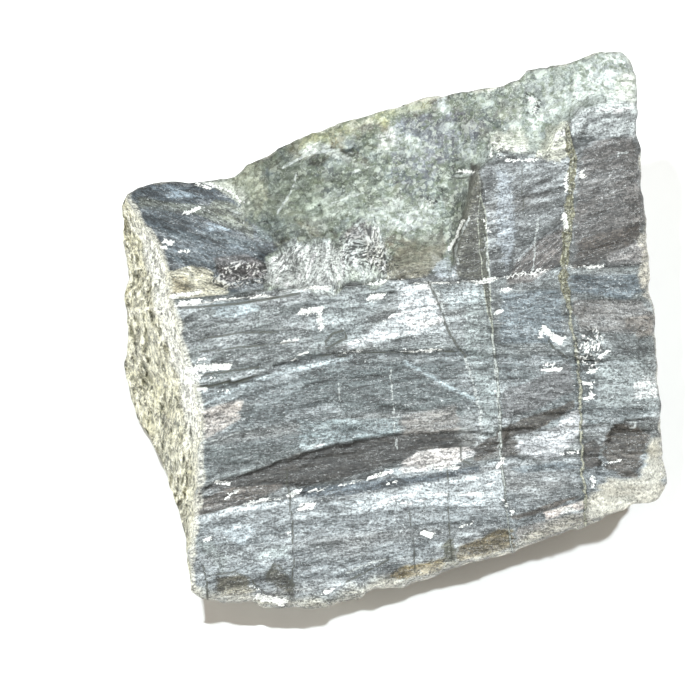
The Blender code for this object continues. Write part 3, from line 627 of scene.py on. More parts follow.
# Painted highlights along the small steps.
for colour, half_width, line in HIGHLIT_STEPS:
    paint(tint, colour, 0.9 * ramp(half_width - beside(line, exact), 0.15))
cloudy = ramp(within(CLOUDY_CORNER, places), 0.5) * on_face
paint(tint, CLOUDY_WHITE, 0.9 * cloudy)
paint(tint, CLOUDY_TAN, 0.7 * cloudy * np.clip(rough(face_point, 2.2, seed=86), 0.0, 1.0))

# ---------------------------------------------------------------------------------------------
# Patches of the crown and the slate facet. The altered stone is mottled: crushed spots are nearly
# white, weathered ones yellowish, and fresh ones blue-grey or brown. The facet is slate blue with
# paler layers, and grey-green rock still sticks to its upper edge.
# ---------------------------------------------------------------------------------------------
SPIKE_BROWN = "#504f44"
# Each patch: its colour, how strongly it shows, how soft its edge is in mm, and its outline.
FACET_PATCHES = [
    ("#78838a", 0.60, 0.4, [(-20.4, 12.9), (-15.0, 13.2), (-10.2, 11.6), (-9.9, 10.2), (-13.0, 9.2),
                            (-19.6, 10.4)]),
    ("#7c8176", 0.65, 0.3, [(-23.4, 17.0), (-19.0, 16.2), (-14.5, 15.9), (-10.4, 13.5), (-10.4, 12.2),
                            (-13.8, 13.7), (-17.0, 15.0), (-20.5, 15.3), (-23.4, 15.7)]),
    ("#b9bca2", 0.55, 0.6, [(-13.7, 19.2), (-10.4, 20.5), (-9.0, 17.0), (-10.4, 14.5), (-12.0, 16.0)]),
    ("#e3e7da", 0.80, 0.3, [(-16.5, 18.6), (-13.2, 18.7), (-11.8, 17.2), (-11.0, 15.4), (-11.6, 15.2),
                            (-13.0, 16.8), (-14.8, 17.8)]),
    ("#57626a", 0.70, 0.25, [(-22.0, 17.8), (-20.9, 18.4), (-17.1, 18.0), (-14.8, 16.9), (-20.4, 16.9)]),
    ("#4b555b", 0.70, 0.25, [(-23.1, 15.9), (-20.9, 15.9), (-16.5, 14.3), (-16.5, 13.4), (-18.7, 13.6),
                             (-22.0, 14.7)]),
    ("#5b666a", 0.60, 0.2, [(-16.5, 13.0), (-13.2, 12.7), (-9.7, 11.8), (-9.7, 11.0), (-16.5, 12.3)]),
    ("#566166", 0.60, 0.2, [(-21.8, 13.6), (-16.5, 12.8), (-16.5, 12.1), (-20.4, 12.1)]),
    ("#5f6a70", 0.70, 0.2, [(-20.4, 10.8), (-17.1, 10.3), (-14.3, 9.7), (-15.2, 9.0), (-20.0, 9.7)]),
    ("#e0dcc6", 0.85, 0.2, [(-20.2, 8.6), (-17.5, 9.3), (-15.6, 8.8), (-13.4, 7.0), (-13.5, 6.2),
                            (-19.9, 5.6)]),
    ("#a39a80", 0.75, 0.2, [(-19.6, 8.0), (-17.8, 8.2), (-17.6, 6.4), (-19.6, 6.2)]),
    ("#7a716e", 0.60, 0.4, [(-14.8, 10.2), (-11.5, 10.6), (-9.2, 9.8), (-9.4, 8.0), (-13.4, 7.4),
                            (-14.6, 8.6)]),
    ("#8f9385", 0.60, 0.25, [(-14.8, 16.7), (-11.6, 15.6), (-11.2, 13.2), (-13.8, 14.5), (-15.9, 15.6)]),
    ("#c9dae6", 0.85, 0.25, [(-16.2, 14.1), (-14.8, 13.9), (-13.2, 13.2), (-15.6, 13.2)]),
    ("#a9b9c4", 0.60, 0.25, [(-20.6, 17.4), (-18.1, 17.5), (-15.9, 16.9), (-20.4, 16.9)]),
]
CROWN_PATCHES = [
    ("#b9bc93", 0.55, 0.8, [(-6.0, 24.5), (1.0, 27.5), (9.0, 30.0), (9.0, 26.8), (3.0, 25.0),
                            (-5.0, 21.5)]),
    ("#dce4e2", 0.90, 0.6, [(5.0, 15.2), (8.8, 15.8), (9.9, 15.0), (8.8, 13.4), (5.5, 13.0)]),
    ("#e0e8ea", 0.70, 0.4, [(9.5, 27.7), (11.0, 27.9), (11.9, 26.2), (11.2, 24.6), (9.9, 25.5)]),
    ("#e6ece6", 0.85, 0.3, [(-5.5, 22.4), (-3.5, 23.0), (-0.6, 21.8), (0.2, 21.1), (-4.8, 21.6)]),
    ("#dde5e2", 0.60, 0.6, [(18.7, 29.1), (23.1, 29.9), (24.8, 28.1), (23.1, 26.2), (19.8, 26.2)]),
    ("#f0e6c8", 0.70, 0.5, [(29.2, 30.4), (31.3, 30.6), (31.4, 27.2), (29.4, 27.6)]),
    ("#e3ebe9", 0.70, 0.7, [(27.5, 32.8), (30.2, 33.0), (31.5, 30.2), (31.5, 26.6), (23.6, 27.5),
                            (25.3, 29.7)]),
    ("#c9d2da", 0.60, 0.3, [(9.1, 10.1), (11.0, 10.3), (11.6, 8.2), (9.5, 7.9)]),
    ("#eef0ea", 0.70, 0.3, [(3.1, 24.0), (4.6, 24.4), (5.3, 23.1), (4.4, 21.8), (3.3, 22.2)]),
    ("#d9dfdf", 0.60, 0.3, [(11.2, 18.4), (12.5, 18.6), (13.2, 17.3), (11.7, 16.8)]),
    ("#efeee6", 0.75, 0.4, [(2.0, 13.0), (3.1, 14.1), (3.9, 9.7), (4.6, 7.7), (1.3, 10.4)]),
    ("#eef0ea", 0.75, 0.4, [(-8.8, 10.1), (-5.7, 11.0), (-5.3, 9.7), (-7.7, 8.6)]),
    ("#e4e4d6", 0.70, 0.4, [(16.1, 24.0), (18.3, 24.6), (19.8, 23.6), (19.6, 21.8), (15.2, 22.0)]),
    ("#dfe0d0", 0.60, 0.4, [(-0.6, 25.3), (2.4, 25.7), (3.1, 24.9), (0.0, 24.0)]),
    ("#848894", 0.62, 0.5, [(5.0, 25.3), (13.2, 26.2), (14.3, 23.6), (13.2, 20.9), (9.9, 20.4),
                            (8.8, 16.5), (6.0, 17.1), (4.6, 19.8)]),
    ("#8b8674", 0.72, 0.3, [(5.5, 11.6), (8.2, 13.0), (10.1, 13.4), (10.8, 10.4), (8.2, 7.9),
                            (4.4, 7.8), (4.2, 9.7)]),
    ("#dfe3e0", 0.75, 0.4, [(-9.4, 7.4), (-8.9, 10.2), (-6.0, 11.4), (-2.6, 11.8), (-0.8, 10.8),
                            (-0.8, 7.6), (-5.0, 6.6)]),
    ("#66716f", 0.65, 0.4, [(-10.4, 14.4), (-6.2, 14.8), (-5.6, 12.6), (-9.6, 11.8)]),
    ("#59666c", 0.70, 0.25, [(-9.1, 20.2), (-7.9, 20.0), (-7.6, 18.9), (-8.8, 18.8)]),
    ("#7d877d", 0.40, 0.8, [(0.5, 17.8), (9.5, 18.0), (9.8, 13.6), (1.0, 13.4)]),
    ("#75706e", 0.75, 0.2, [(-0.7, 13.0), (2.0, 14.5), (2.6, 13.4), (1.8, 12.3), (0.0, 12.1)]),
    ("#85795a", 0.60, 0.3, [(-2.8, 24.2), (-0.6, 24.0), (-0.8, 22.2), (-2.6, 22.4)]),
    ("#5f6b70", 0.65, 0.3, [(-0.6, 23.6), (1.1, 23.4), (0.9, 22.0), (-0.5, 22.2)]),
    ("#606b6f", 0.65, 0.3, [(5.0, 20.0), (6.8, 19.9), (6.4, 18.7), (4.8, 18.9)]),
    ("#5f6a68", 0.60, 0.4, [(7.2, 19.3), (9.9, 18.8), (9.7, 16.6), (7.4, 17.0)]),
    ("#69656c", 0.60, 0.3, [(11.5, 26.2), (14.6, 25.4), (14.9, 24.0), (12.0, 24.4)]),
    ("#737c6c", 0.55, 0.5, [(-9.0, 19.5), (-4.5, 20.5), (-3.0, 16.0), (-6.0, 13.8), (-9.0, 15.0)]),
    ("#7a8375", 0.50, 0.5, [(-1.5, 20.5), (3.0, 21.0), (4.0, 17.5), (1.0, 15.5), (-2.0, 17.0)]),
    ("#5c655b", 0.55, 0.5, [(4.4, 12.7), (6.5, 12.6), (9.8, 13.6), (10.8, 15.4), (11.4, 13.4),
                            (9.6, 11.8), (5.0, 11.9)]),
    ("#e6ece8", 0.32, 0.9, [(1.6, 15.6), (3.4, 16.8), (8.6, 16.4), (9.8, 15.2), (8.6, 13.4),
                            (5.2, 12.8), (2.6, 13.6)]),
    ("#5a6158", 0.55, 0.5, [(9.6, 19.6), (12.6, 19.8), (13.6, 16.0), (12.2, 12.6), (11.0, 15.6)]),
    ("#b4beb2", 0.55, 0.6, [(-4.6, 16.4), (-1.8, 17.2), (0.4, 15.8), (-1.6, 14.2), (-4.4, 14.4)]),
    ("#b9c2b8", 0.50, 0.6, [(2.2, 22.0), (6.4, 23.6), (9.0, 22.6), (6.2, 21.4)]),
    ("#aeb9b6", 0.50, 0.7, [(11.4, 23.0), (14.6, 23.4), (15.4, 20.8), (12.4, 20.6)]),
]

lay_sheets(FACET_PATCHES + CROWN_PATCHES)
paint(tint, SPIKE_BROWN, 0.85 * spike)

# Plate by plate and grain by grain the stone is lighter or darker, with painted shade in the
# hollows and painted highlight on the crests.
short_streaks = rough(lamella, (1.6, 0.28, 1.0), seed=63)
light = (0.30 * small_shade + 0.35 * short_streaks) * layered * (1 - 0.7 * cloudy)
light += (0.17 * speck_shade + 0.20 * grain_shade + 0.36 * cloud) * broken - 3.0 * painted_relief_shade
tint = np.minimum(tint * np.exp(light)[:, None], 1.0)

# ---------------------------------------------------------------------------------------------
# The crust. The altered rind is cream, yellowed in places and greyer at its foot, with white
# crumbs and dirt between them, both deepened by painted shade in the hollows and painted highlight
# on the crests, and a worn white corner. The whole front's rim is worn pale too.
# ---------------------------------------------------------------------------------------------
CREAM, FOOT_CREAM, YELLOW_CREAM = "#dad6bc", "#a9a793", "#d9cf9c"
CRUMB_AND_HIGHLIGHT_WHITE, CRUST_DIRT_AND_SHADE, CORNER_WHITE, WORN_WHITE = "#fffbe4", "#76745f", "#fffef5", "#efecdd"
CORNER_FADE = (-14.0, -8.0, 11.0, 16.0)

paint(tint, CREAM, crusted)
paint(tint, FOOT_CREAM, 0.6 * crusted * ramp(-10.0 - up, 6.0))
yellowed = np.clip(rough(rind_point, (1.0, 3.0, 2.4), seed=91), 0.0, 1.0)
paint(tint, YELLOW_CREAM, 0.5 * crusted * yellowed)
# Crumbs and painted relief shade together: the crust is darker in its hollows and lighter on its crests.
light = 0.1 + 0.4 * rind_shade + 0.35 * crumb_shade - 3.0 * painted_relief_shade
paint(tint, CRUMB_AND_HIGHLIGHT_WHITE, np.clip(light, 0.0, 0.9) * crusted)
paint(tint, CRUST_DIRT_AND_SHADE, np.clip(-1.3 * light, 0.0, 0.9) * crusted)
corner_band = ramp(0.9 + 0.4 * rough(on_net, 1.5, seed=78) - np.abs(past_corner - 1.0), 0.4)
paint(tint, CORNER_WHITE, 0.8 * crusted * corner_band * np.interp(up, CORNER_FADE, (0, 1, 1, 0)))
unworn = tint.copy()
worn_reach = 0.05 + 0.35 * rough(on_net, 1.4, seed=72)
paint(tint, WORN_WHITE, 0.7 * ramp(worn_reach - np.minimum(to_edge, np.abs(past_corner) - 0.3), 0.25))

# ---------------------------------------------------------------------------------------------
# Bruises. Where a sheet's edge was struck it is crushed to a white powder. The bruise ends aslant,
# along the stone's second cleavage. The open left part of the ledges is white all along: partly
# crushed edges, partly a painted highlight where their steps catch the light.
# ---------------------------------------------------------------------------------------------
BRUISE_SLANT, BRUISE_DEPTH, BRUISE_RUN = 0.6, 0.16, 0.12
# Each bruise: half width, then the line along which the edge was crushed.
BRUISES = [
    (0.25, [(-19.5, 5.9), (-16.8, 6.3)]), (0.27, [(-18.7, 5.1), (-16.7, 5.3)]),
    (0.38, [(-18.0, -2.2), (-15.0, -1.8), (-13.4, -1.8)]), (0.48, [(-17.6, -3.3), (-16.9, -3.1)]),
    (0.16, [(-15.2, -3.1), (-14.7, -3.1)]), (0.23, [(-16.6, -4.3), (-15.8, -4.3)]),
    (0.10, [(-14.1, -4.5), (-13.4, -4.5)]), (0.17, [(-16.5, -1.0), (-16.1, -1.0)]),
    (0.12, [(-5.7, -0.6), (-4.6, -0.2)]), (0.17, [(-7.6, 0.8), (-5.9, 1.1)]),
    (0.37, [(-5.2, 4.2), (-3.4, 4.4)]), (0.30, [(-3.4, 3.7), (-3.1, 2.5)]),
    (0.38, [(2.3, 5.7), (3.2, 5.8)]), (0.10, [(5.7, -0.1), (8.8, -0.1), (10.1, 0.1)]),
    (0.11, [(3.9, 3.4), (5.3, 4.1)]), (0.19, [(-11.7, -17.1), (-9.1, -16.4)]),
    (0.29, [(-6.6, -15.9), (-5.8, -15.6)]), (0.38, [(-5.3, -17.3), (-4.2, -17.2)]),
    (0.19, [(2.0, -14.1), (4.4, -13.4)]), (0.17, [(4.1, -14.7), (5.1, -14.5)]),
    (0.30, [(8.1, -20.1), (8.9, -20.4)]), (0.10, [(12.1, -19.4), (13.6, -18.9)]),
    (0.48, [(21.4, 2.3), (22.2, 1.5), (23.1, 1.1)]), (0.19, [(20.7, 1.4), (20.9, 1.5)]),
    (0.17, [(21.3, -1.6), (22.3, -1.6)]), (0.17, [(21.1, -2.2), (23.1, -2.1)]),
    (0.16, [(25.4, -3.7), (26.6, -3.7)]), (0.13, [(26.5, -4.0), (26.5, -4.6)]),
    (0.25, [(26.0, -5.3), (26.6, -5.2)]), (0.21, [(16.1, 4.2), (16.5, 4.2)]),
    (0.16, [(16.7, 6.5), (17.8, 6.8)]), (0.27, [(27.7, -0.7), (28.2, -0.3)]),
    (0.22, [(26.4, -2.3), (26.9, -2.2)]), (0.16, [(26.2, 9.1), (27.7, 9.2)]),
    (0.21, [(26.6, -14.1), (26.8, -15.0)]), (0.12, [(28.2, -12.5), (29.7, -12.2)]),
    (0.10, [(23.3, -11.4), (25.2, -11.2)]), (0.38, [(-10.1, -27.2), (-8.2, -27.5), (-7.4, -27.9)]),
    (0.15, [(-10.7, -26.0), (-10.1, -26.4)]), (0.25, [(-2.8, -26.6), (-2.0, -26.4)]),
    (0.17, [(16.8, -16.5), (18.0, -18.0)]), (0.24, [(16.3, -12.8), (16.8, -12.1)]),
    (0.19, [(-15.9, -20.8), (-15.2, -20.7)]), (0.15, [(-6.8, -20.2), (-6.4, -20.1)]),
    (0.21, [(-14.7, -14.5), (-13.4, -14.7)]), (0.21, [(-13.4, -16.1), (-12.7, -15.6)]),
    (0.16, [(17.2, 20.9), (20.4, 20.9)]), (0.21, [(23.8, 19.2), (23.8, 17.6)]),
    (0.29, [(23.5, 15.0), (23.8, 13.6)]), (0.29, [(25.5, 19.4), (25.7, 19.1)]),
    (0.18, [(-18.4, 15.1), (-17.4, 15.3)]), (0.17, [(-17.4, 15.5), (-16.7, 15.7)]),
    (0.28, [(-20.5, 12.1), (-19.7, 11.8)]), (0.18, [(-20.7, 11.4), (-20.4, 11.2)]),
    (0.18, [(-18.7, 11.0), (-17.9, 10.8)]), (0.14, [(-15.2, 18.3), (-13.0, 17.3), (-11.8, 16.3)]),
    (0.22, [(-16.9, 18.4), (-15.6, 17.9)]), (0.17, [(12.1, 19.8), (13.6, 19.6)]),
    (0.17, [(12.4, 14.2), (11.7, 12.5), (11.0, 11.2)]), (0.11, [(14.6, 14.2), (15.4, 13.0)]),
]


def slab(line, half_width, places):
    """How far inside a bruise each place lies: a strip along a line, with its ends cut aslant."""
    axis = int(abs(line[-1][1] - line[0][1]) > abs(line[-1][0] - line[0][0]))
    ends = np.array(sorted(line, key=lambda point: point[axis]))
    off_line = places[:, 1 - axis] - np.interp(places[:, axis], ends[:, axis], ends[:, 1 - axis])
    slanted = places[:, axis] - BRUISE_SLANT * off_line
    to_end = np.minimum(slanted - ends[0, axis], ends[-1, axis] - slanted) + half_width
    return np.minimum(half_width - np.abs(off_line), to_end)


bruise = np.full(len(across), -1.0)
for half_width, line in BRUISES:
    bruise = np.maximum(bruise, slab(line, half_width, exact))
ledge_unevenness = rough(lamella, (3.0, 1.0, 1.0), seed=70) + 0.5 * rough(lamella, (0.9, 1.0, 1.0), seed=71)
# White along the open ledges: partly crushed edges, partly painted highlight where their steps catch the
# light.
for above_ledge, amount in ((above_toe, 0.02), (above_middle, -0.06), (above_top, 0.05)):
    edge = amount + 0.25 * ledge_unevenness - np.abs(above_ledge) - healed * (above_top < -1)
    bruise = np.maximum(bruise, edge * on_face - (1 - on_face))

# ---------------------------------------------------------------------------------------------
# Cracks and pits. Hairlines are open and dark, and others have healed with pale feldspar. The long
# crack is pale below and open above, and the seam at the right is filled with olive-brown mineral.
# Pits hold black grains, and where the stone is crushed, white ones among them. The dark line
# under the middle ledge is painted shade, drawn like a hairline.
# ---------------------------------------------------------------------------------------------
HAIR_DEPTH, HAIR_RUN, PIT_RELIEF = 0.12, 0.08, 0.25
# Half widths up the height of the cracks, negative where there is nothing to see.
DARK_WIDTH = [(1.0, -0.1), (4.0, 0.16), (8.0, 0.40), (15.0, 0.36), (17.5, -0.1)]
PALE_WIDTH = [(-24.0, 0.05), (-12.0, 0.10), (0.0, 0.14), (3.5, 0.12), (5.0, -0.1)]
SEAM_WIDTH = [(-20.0, 0.08), (-6.0, 0.15), (4.0, 0.17), (7.0, 0.30), (9.0, 0.44), (20.0, 0.48),
              (24.0, 0.28), (25.5, -0.2)]
# Hairlines that are open, then ones that have healed: half width and course.
HAIR_CRACKS = [
    (0.15, [(8.6, 7.5), (9.6, 5.5), (10.7, 2.2), (12.7, -0.8)]),
    (0.13, [(-7.0, -13.2), (-6.4, -18.7), (-6.2, -23.1), (-6.3, -27.7)]),
    (0.11, [(6.4, -16.5), (6.9, -20.9), (7.3, -25.1)]),
    (0.11, [(10.7, -13.2), (10.9, -19.8), (11.2, -23.3)]),
    (0.10, [(18.9, 20.4), (19.0, 17.6), (19.1, 14.7)]), (0.13, [(-16.1, -23.6), (-15.6, -27.5)]),
    (0.15, [(-18.9, 4.6), (-12.0, 5.1), (-5.5, 6.2)]),
    (0.13, [(21.8, 1.1), (22.4, 0.2), (23.9, -0.9)]), (0.14, [(-16.0, -2.7), (-10.0, -1.9)]),
    (0.14, [(-2.7, 0.9), (-2.0, 1.8), (-0.7, 2.1), (-0.3, 1.3), (-1.6, 0.7), (-2.6, 0.1), (-2.7, 0.9)]),
    (0.13, [(-17.0, 1.0), (-12.5, 1.9), (-8.0, 2.0)]),
    (0.13, [(-16.5, -0.2), (-12.0, 0.3), (-6.0, 0.9)]),
    (0.13, [(-14.8, -24.7), (-12.6, -24.4), (-10.9, -25.2), (-9.4, -26.8)]),
    (0.14, [(-9.2, -25.2), (-8.2, -23.3), (-7.0, -24.5), (-6.4, -26.0)]),
    (0.12, [(10.9, 19.2), (12.2, 18.9), (13.4, 19.2)]),
    (0.13, [(12.1, -10.5), (12.3, -12.2), (13.4, -12.6)]),
    (0.13, [(4.2, -23.0), (3.0, -23.8), (-0.5, -25.5)]),
]
PALE_LINES = [
    (0.17, [(12.7, -0.8), (13.6, -4.0), (14.3, -6.6), (14.5, -9.9)]),
    (0.14, [(3.9, 7.6), (2.6, 11.5), (0.7, 13.8)]), (0.14, [(4.1, 8.2), (3.4, 12.5), (2.3, 15.2)]),
    (0.13, [(3.2, 7.6), (0.9, 10.0), (-0.6, 11.6)]), (0.12, [(-6.2, 7.2), (-5.6, 9.6), (-5.9, 11.2)]),
    (0.12, [(-4.2, 7.0), (-3.8, 9.2)]), (0.12, [(-2.6, 7.4), (-2.2, 10.4)]),
    (0.12, [(-7.6, 7.4), (-6.9, 10.2)]), (0.12, [(4.4, -2.2), (4.7, -5.5), (5.1, -11.0)]),
    (0.15, [(9.0, 7.3), (10.0, 5.3), (11.1, 2.0)]), (0.15, [(13.1, 14.6), (11.5, 10.9), (11.9, 9.4)]),
    (0.13, [(14.9, 12.5), (15.3, 8.0), (15.4, 6.5)]),
    (0.14, [(20.7, 14.6), (20.4, 12.0), (20.2, 8.8)]),
    (0.12, [(16.0, -2.0), (16.3, -8.0), (16.4, -12.0)]), (0.13, [(29.5, 21.5), (31.6, 22.0)]),
    (0.15, [(-0.5, -24.6), (1.7, -23.6), (4.0, -22.9)]),
    (0.13, [(-16.6, -10.2), (-14.3, -9.9), (-12.2, -9.0)]), (0.10, [(-1.3, -3.6), (-1.1, -8.5)]),
    (0.12, [(30.9, -8.0), (31.4, -7.9), (31.4, -8.5), (30.8, -8.6)]),
    (0.15, [(0.0, 19.6), (2.8, 20.4)]), (0.16, [(-2.2, 16.0), (0.0, 17.0), (1.5, 17.3)]),
    (0.17, [(-7.5, 20.2), (-4.5, 21.8), (-1.0, 22.2)]), (0.15, [(10.6, 19.1), (13.5, 19.4)]),
    (0.17, [(3.5, 13.5), (6.5, 15.5), (9.5, 16.2)]),
    (0.15, [(-8.0, 15.2), (-6.5, 17.5), (-6.0, 19.5)]),
    (0.17, [(19.5, 25.5), (22.5, 27.0), (25.0, 27.2)]),
    (0.15, [(5.0, 24.5), (7.5, 22.5), (8.0, 20.5)]),
]
# Pits: how strongly they show, and where.
PITTED = [
    (0.85, [(24.8, 2.2), (27.5, 2.8), (27.7, 0.6), (27.3, -2.0), (25.3, -2.4), (24.6, 0.0)]),
    (0.45, [(27.7, 2.2), (33.0, 1.6), (33.2, -1.1), (30.8, -0.6), (28.1, 0.6)]),
    (0.50, [(-13.4, -22.1), (-10.8, -22.0), (-10.6, -22.8), (-13.2, -22.9)]),
    (0.60, [(5.7, -19.4), (9.9, -19.4), (10.1, -20.5), (7.7, -20.2)]),
    (0.75, [(-15.2, 9.7), (-12.1, 10.1), (-8.8, 9.7), (-9.0, 7.2), (-13.8, 6.4), (-15.4, 7.3)]),
    (0.5, [(-8.6, 13.0), (-5.5, 12.1), (-5.0, 8.2), (-7.7, 8.2), (-9.0, 11.0)]),
    (0.65, [(-0.6, 13.8), (2.8, 13.8), (5.3, 9.7), (3.9, 8.2), (-1.1, 9.7), (-1.6, 12.1)]),
    (0.7, [(7.7, 16.8), (9.9, 17.2), (10.6, 17.8), (10.8, 16.9), (8.8, 15.6), (7.7, 16.1)]),
    (1.0, [(14.7, 22.2), (16.5, 23.3), (18.1, 22.2), (16.5, 20.9), (15.0, 21.1)]),
    (0.8, [(18.7, 28.1), (20.5, 28.6), (20.9, 26.2), (19.2, 25.7)]),
    (0.7, [(14.3, 28.8), (16.3, 29.1), (16.5, 28.4), (14.7, 27.7)]),
]

hairline_and_ledge_shade = np.full(len(across), -1.0)
for half_width, line in HAIR_CRACKS:
    hairline_and_ledge_shade = np.maximum(hairline_and_ledge_shade, half_width - beside(line, exact))
# Painted shade: a dark line just under the middle ledge's step, drawn like a hairline.
ledge_shade_line = 0.05 - 0.14 * ledge_unevenness - np.abs(above_middle + 0.2) - healed
hairline_and_ledge_shade = np.maximum(hairline_and_ledge_shade, ledge_shade_line - 2 * (1 - on_face))
pale = np.full(len(across), -1.0)
for half_width, line in PALE_LINES:
    pale = np.maximum(pale, half_width - beside(line, exact))
pits = np.zeros(len(across))
for strength, outline in PITTED:
    pits = np.maximum(pits, strength * ramp(within(outline, places), 0.8))

from_long = across - line_at(LONG_CRACK, up, 1) + 0.10 * rough(face_point, 1.1, seed=69)
from_seam = across - line_at(SEAM_CRACK, up, 1) + 0.14 * rough(face_point, 0.9, seed=68)
dark_width = line_at(DARK_WIDTH, up)
pale_width = line_at(PALE_WIDTH, up)
seam_width = line_at(SEAM_WIDTH, up)
seam_width += 0.22 * rough(face_point, (50.0, 1.0, 1.0), seed=73) * (up > 6.0)
pale_width += 0.08 * rough(face_point, (50.0, 0.8, 1.0), seed=74)

# ---------------------------------------------------------------------------------------------
# The finished front. Its bruises, hairlines and pits are sunk into it, and the net is shaken a
# little, most along the rim, because no edge of a broken stone runs straight or smooth.
# ---------------------------------------------------------------------------------------------
SHAKE_REACH, LEAST_SHAKE = 1.5, 0.15


def shiver(seed):
    """A small shake of the net, in lumps of two sizes."""
    return 0.14 * rough(on_net, 1.5, seed) + 0.08 * rough(on_net, 0.6, seed + 1)


out += PIT_RELIEF * pits * speck_height
out -= BRUISE_DEPTH * np.clip(bruise / BRUISE_RUN, 0.0, 1.0)
out -= HAIR_DEPTH * np.clip(hairline_and_ledge_shade / HAIR_RUN, 0.0, 1.0)
out = np.maximum(out, lowest)
from_rim = np.minimum(to_edge, across - line_at(LEFT_EDGE, up, 1))
shake = np.clip(1 - from_rim / SHAKE_REACH, LEAST_SHAKE, 1.0)
front = stand_up(across + shake * shiver(seed=41), up + shake * shiver(seed=43), out)

# ---------------------------------------------------------------------------------------------
# The walls' colours. On the cream side they carry the same altered crust as the rind, elsewhere
# grey split stone with sheets seen edge on. Ridges between the scars are rubbed pale.
# ---------------------------------------------------------------------------------------------
WALL_GREY, WALL_CREAM, WALL_GREEN, WALL_BROWN = "#a4a8a2", "#cfccb5", "#8d9682", "#8c8172"
RIDGE_PALE, SCAR_GREY, WALL_LIGHT, WALL_DARK = "#e9e7da", "#757972", "#eceadb", "#6a6c66"
RUN_ON = 8.0                         # the front's colours run on about this far down the walls
RIM_SPAN = range(-6, 7)              # evened out over so many neighbours along the rim

rim_steps = np.diff(smooth_front[rim, :2], axis=0, append=smooth_front[rim[:1], :2])
around = np.cumsum(np.linalg.norm(rim_steps, axis=1))
wall_layer = flat(np.tile(around, WALL_ROWS), wall_out)
creamy = np.clip(0.5 - outward[:, 0] * 0.9 + 0.4 * rough(wall, 5.0, seed=81), 0.0, 1.0)
wall_shade, _ = plates(wall_layer, (3.0, 1.0, 1.0), seed=82)
sheet_shade, _ = plates(wall_layer, (14.0, 2.4, 1.0), seed=90)
wall_tint = np.tile(linear(WALL_GREY)[:3], (len(wall), 1))
paint(wall_tint, WALL_CREAM, creamy)
paint(wall_tint, WALL_GREEN, 0.6 * np.clip(rough(wall, 7.0, seed=87), 0.0, 1.0))
paint(wall_tint, WALL_BROWN, 0.5 * np.clip(rough(wall, 6.0, seed=88), 0.0, 1.0))
rim_tint = sum(np.roll(unworn[rim], step, axis=0) for step in RIM_SPAN) / len(RIM_SPAN)
run_on = np.clip(1.1 - deep / RUN_ON + 0.6 * rough(wall, 4.0, seed=92), 0.0, 1.0)
wall_tint += (np.tile(rim_tint, (WALL_ROWS, 1)) - wall_tint) * (0.75 * run_on)[:, None]
rubbed = scars(wall, SCAR_SIZE, seed=1) - SCAR_EVEN
paint(wall_tint, RIDGE_PALE, 0.6 * ramp(rubbed - 0.08, 0.2))
paint(wall_tint, SCAR_GREY, 0.4 * ramp(-rubbed - 0.25, 0.3))
wall_light = 0.4 * wall_shade + 0.6 * sheet_shade
wall_light += 0.3 * rough(wall_layer, (6.0, 0.8, 1.0), seed=83) + 0.25 * rough(wall, 2.0, seed=84)
paint(wall_tint, WALL_LIGHT, np.clip(wall_light, 0.0, 0.8))
paint(wall_tint, WALL_DARK, np.clip(-wall_light, 0.0, 0.8))

# ---------------------------------------------------------------------------------------------
# The skin. Front, rings of the walls and underside are joined in one closed mesh. Each point keeps
# its tint, its place in the layers, the kind of stone it is, and how far it lies from every mark.
# ---------------------------------------------------------------------------------------------
MM = 0.001

points = np.concatenate([front, wall, [[0.0, 0.0, 0.0]]])
points[-1, :2] = wall[-rim_count:, :2].mean(axis=0)
quads = np.stack([number[:-1, :-1], number[:-1, 1:], number[1:, 1:], number[1:, :-1]], axis=-1)
rings = np.concatenate([rim, len(front) + np.arange(len(wall))]).reshape(WALL_ROWS + 1, rim_count)
following = np.roll(rings, -1, axis=1)
ring_quads = np.stack([rings[:-1], rings[1:], following[1:], following[:-1]], axis=-1)
fan = np.stack([np.full(rim_count, len(points) - 1), following[-1], rings[-1]], axis=-1)
cad_low, cad_high = [np.array(end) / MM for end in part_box("labradorite")]
shift = (cad_low + cad_high)[:2] / 2 - (points[:, :2].min(axis=0) + points[:, :2].max(axis=0)) / 2
points[:, :2] += shift
faces = quads.reshape(-1, 4).tolist() + ring_quads.reshape(-1, 4).tolist() + fan.tolist()
mesh = bpy.data.meshes.new("labradorite lump")
mesh.from_pydata((points * MM).tolist(), [], faces)
mesh.validate()
mesh.shade_smooth()
lump = bpy.data.objects.new("labradorite_lump", mesh)
bpy.context.collection.objects.link(lump)


def keep(name, front_values, wall_values, kind="FLOAT_VECTOR"):
    """Store values for every point under a name. The underside's middle has the last wall value."""
    values = np.concatenate([front_values, wall_values, wall_values[-1:]])
    field = "color" if kind == "FLOAT_COLOR" else "vector"
    mesh.attributes.new(name, kind, "POINT").data.foreach_set(field, values.ravel())


def opaque(colours):
    """Colours with a 1 after each."""
    return np.concatenate([colours, np.ones((len(colours), 1))], axis=1)


even_stone = 0.5 * ramp(2.0 * cloud - across - 1.0, 7.0)
grainy = np.maximum(broken * (1 - even_stone), 0.12 * cloudy)
wall_kind = np.stack([creamy < 0.5, 0.0 * creamy, creamy >= 0.5], axis=1).astype(float)
no_line, no_pit = np.full(len(wall), -1.0), np.zeros(len(wall))
keep("tint", opaque(tint), opaque(wall_tint), "FLOAT_COLOR")
keep("layer", lamella + 0.5 * out[:, None] * np.array([0, 0, 1]), wall_layer)
keep("kind", np.stack([layered * (1 - 0.85 * cloudy), grainy, crusted], axis=1), wall_kind)
keep("marks", np.stack([bruise, hairline_and_ledge_shade, pits], axis=1), np.stack([no_line, no_line, no_pit], axis=1))
keep("cracks", np.stack([from_long, from_seam, pale], axis=1), np.stack([no_line] * 3, axis=1))
keep("widths", np.stack([dark_width, pale_width, seam_width], axis=1), np.stack([no_line] * 3, axis=1))

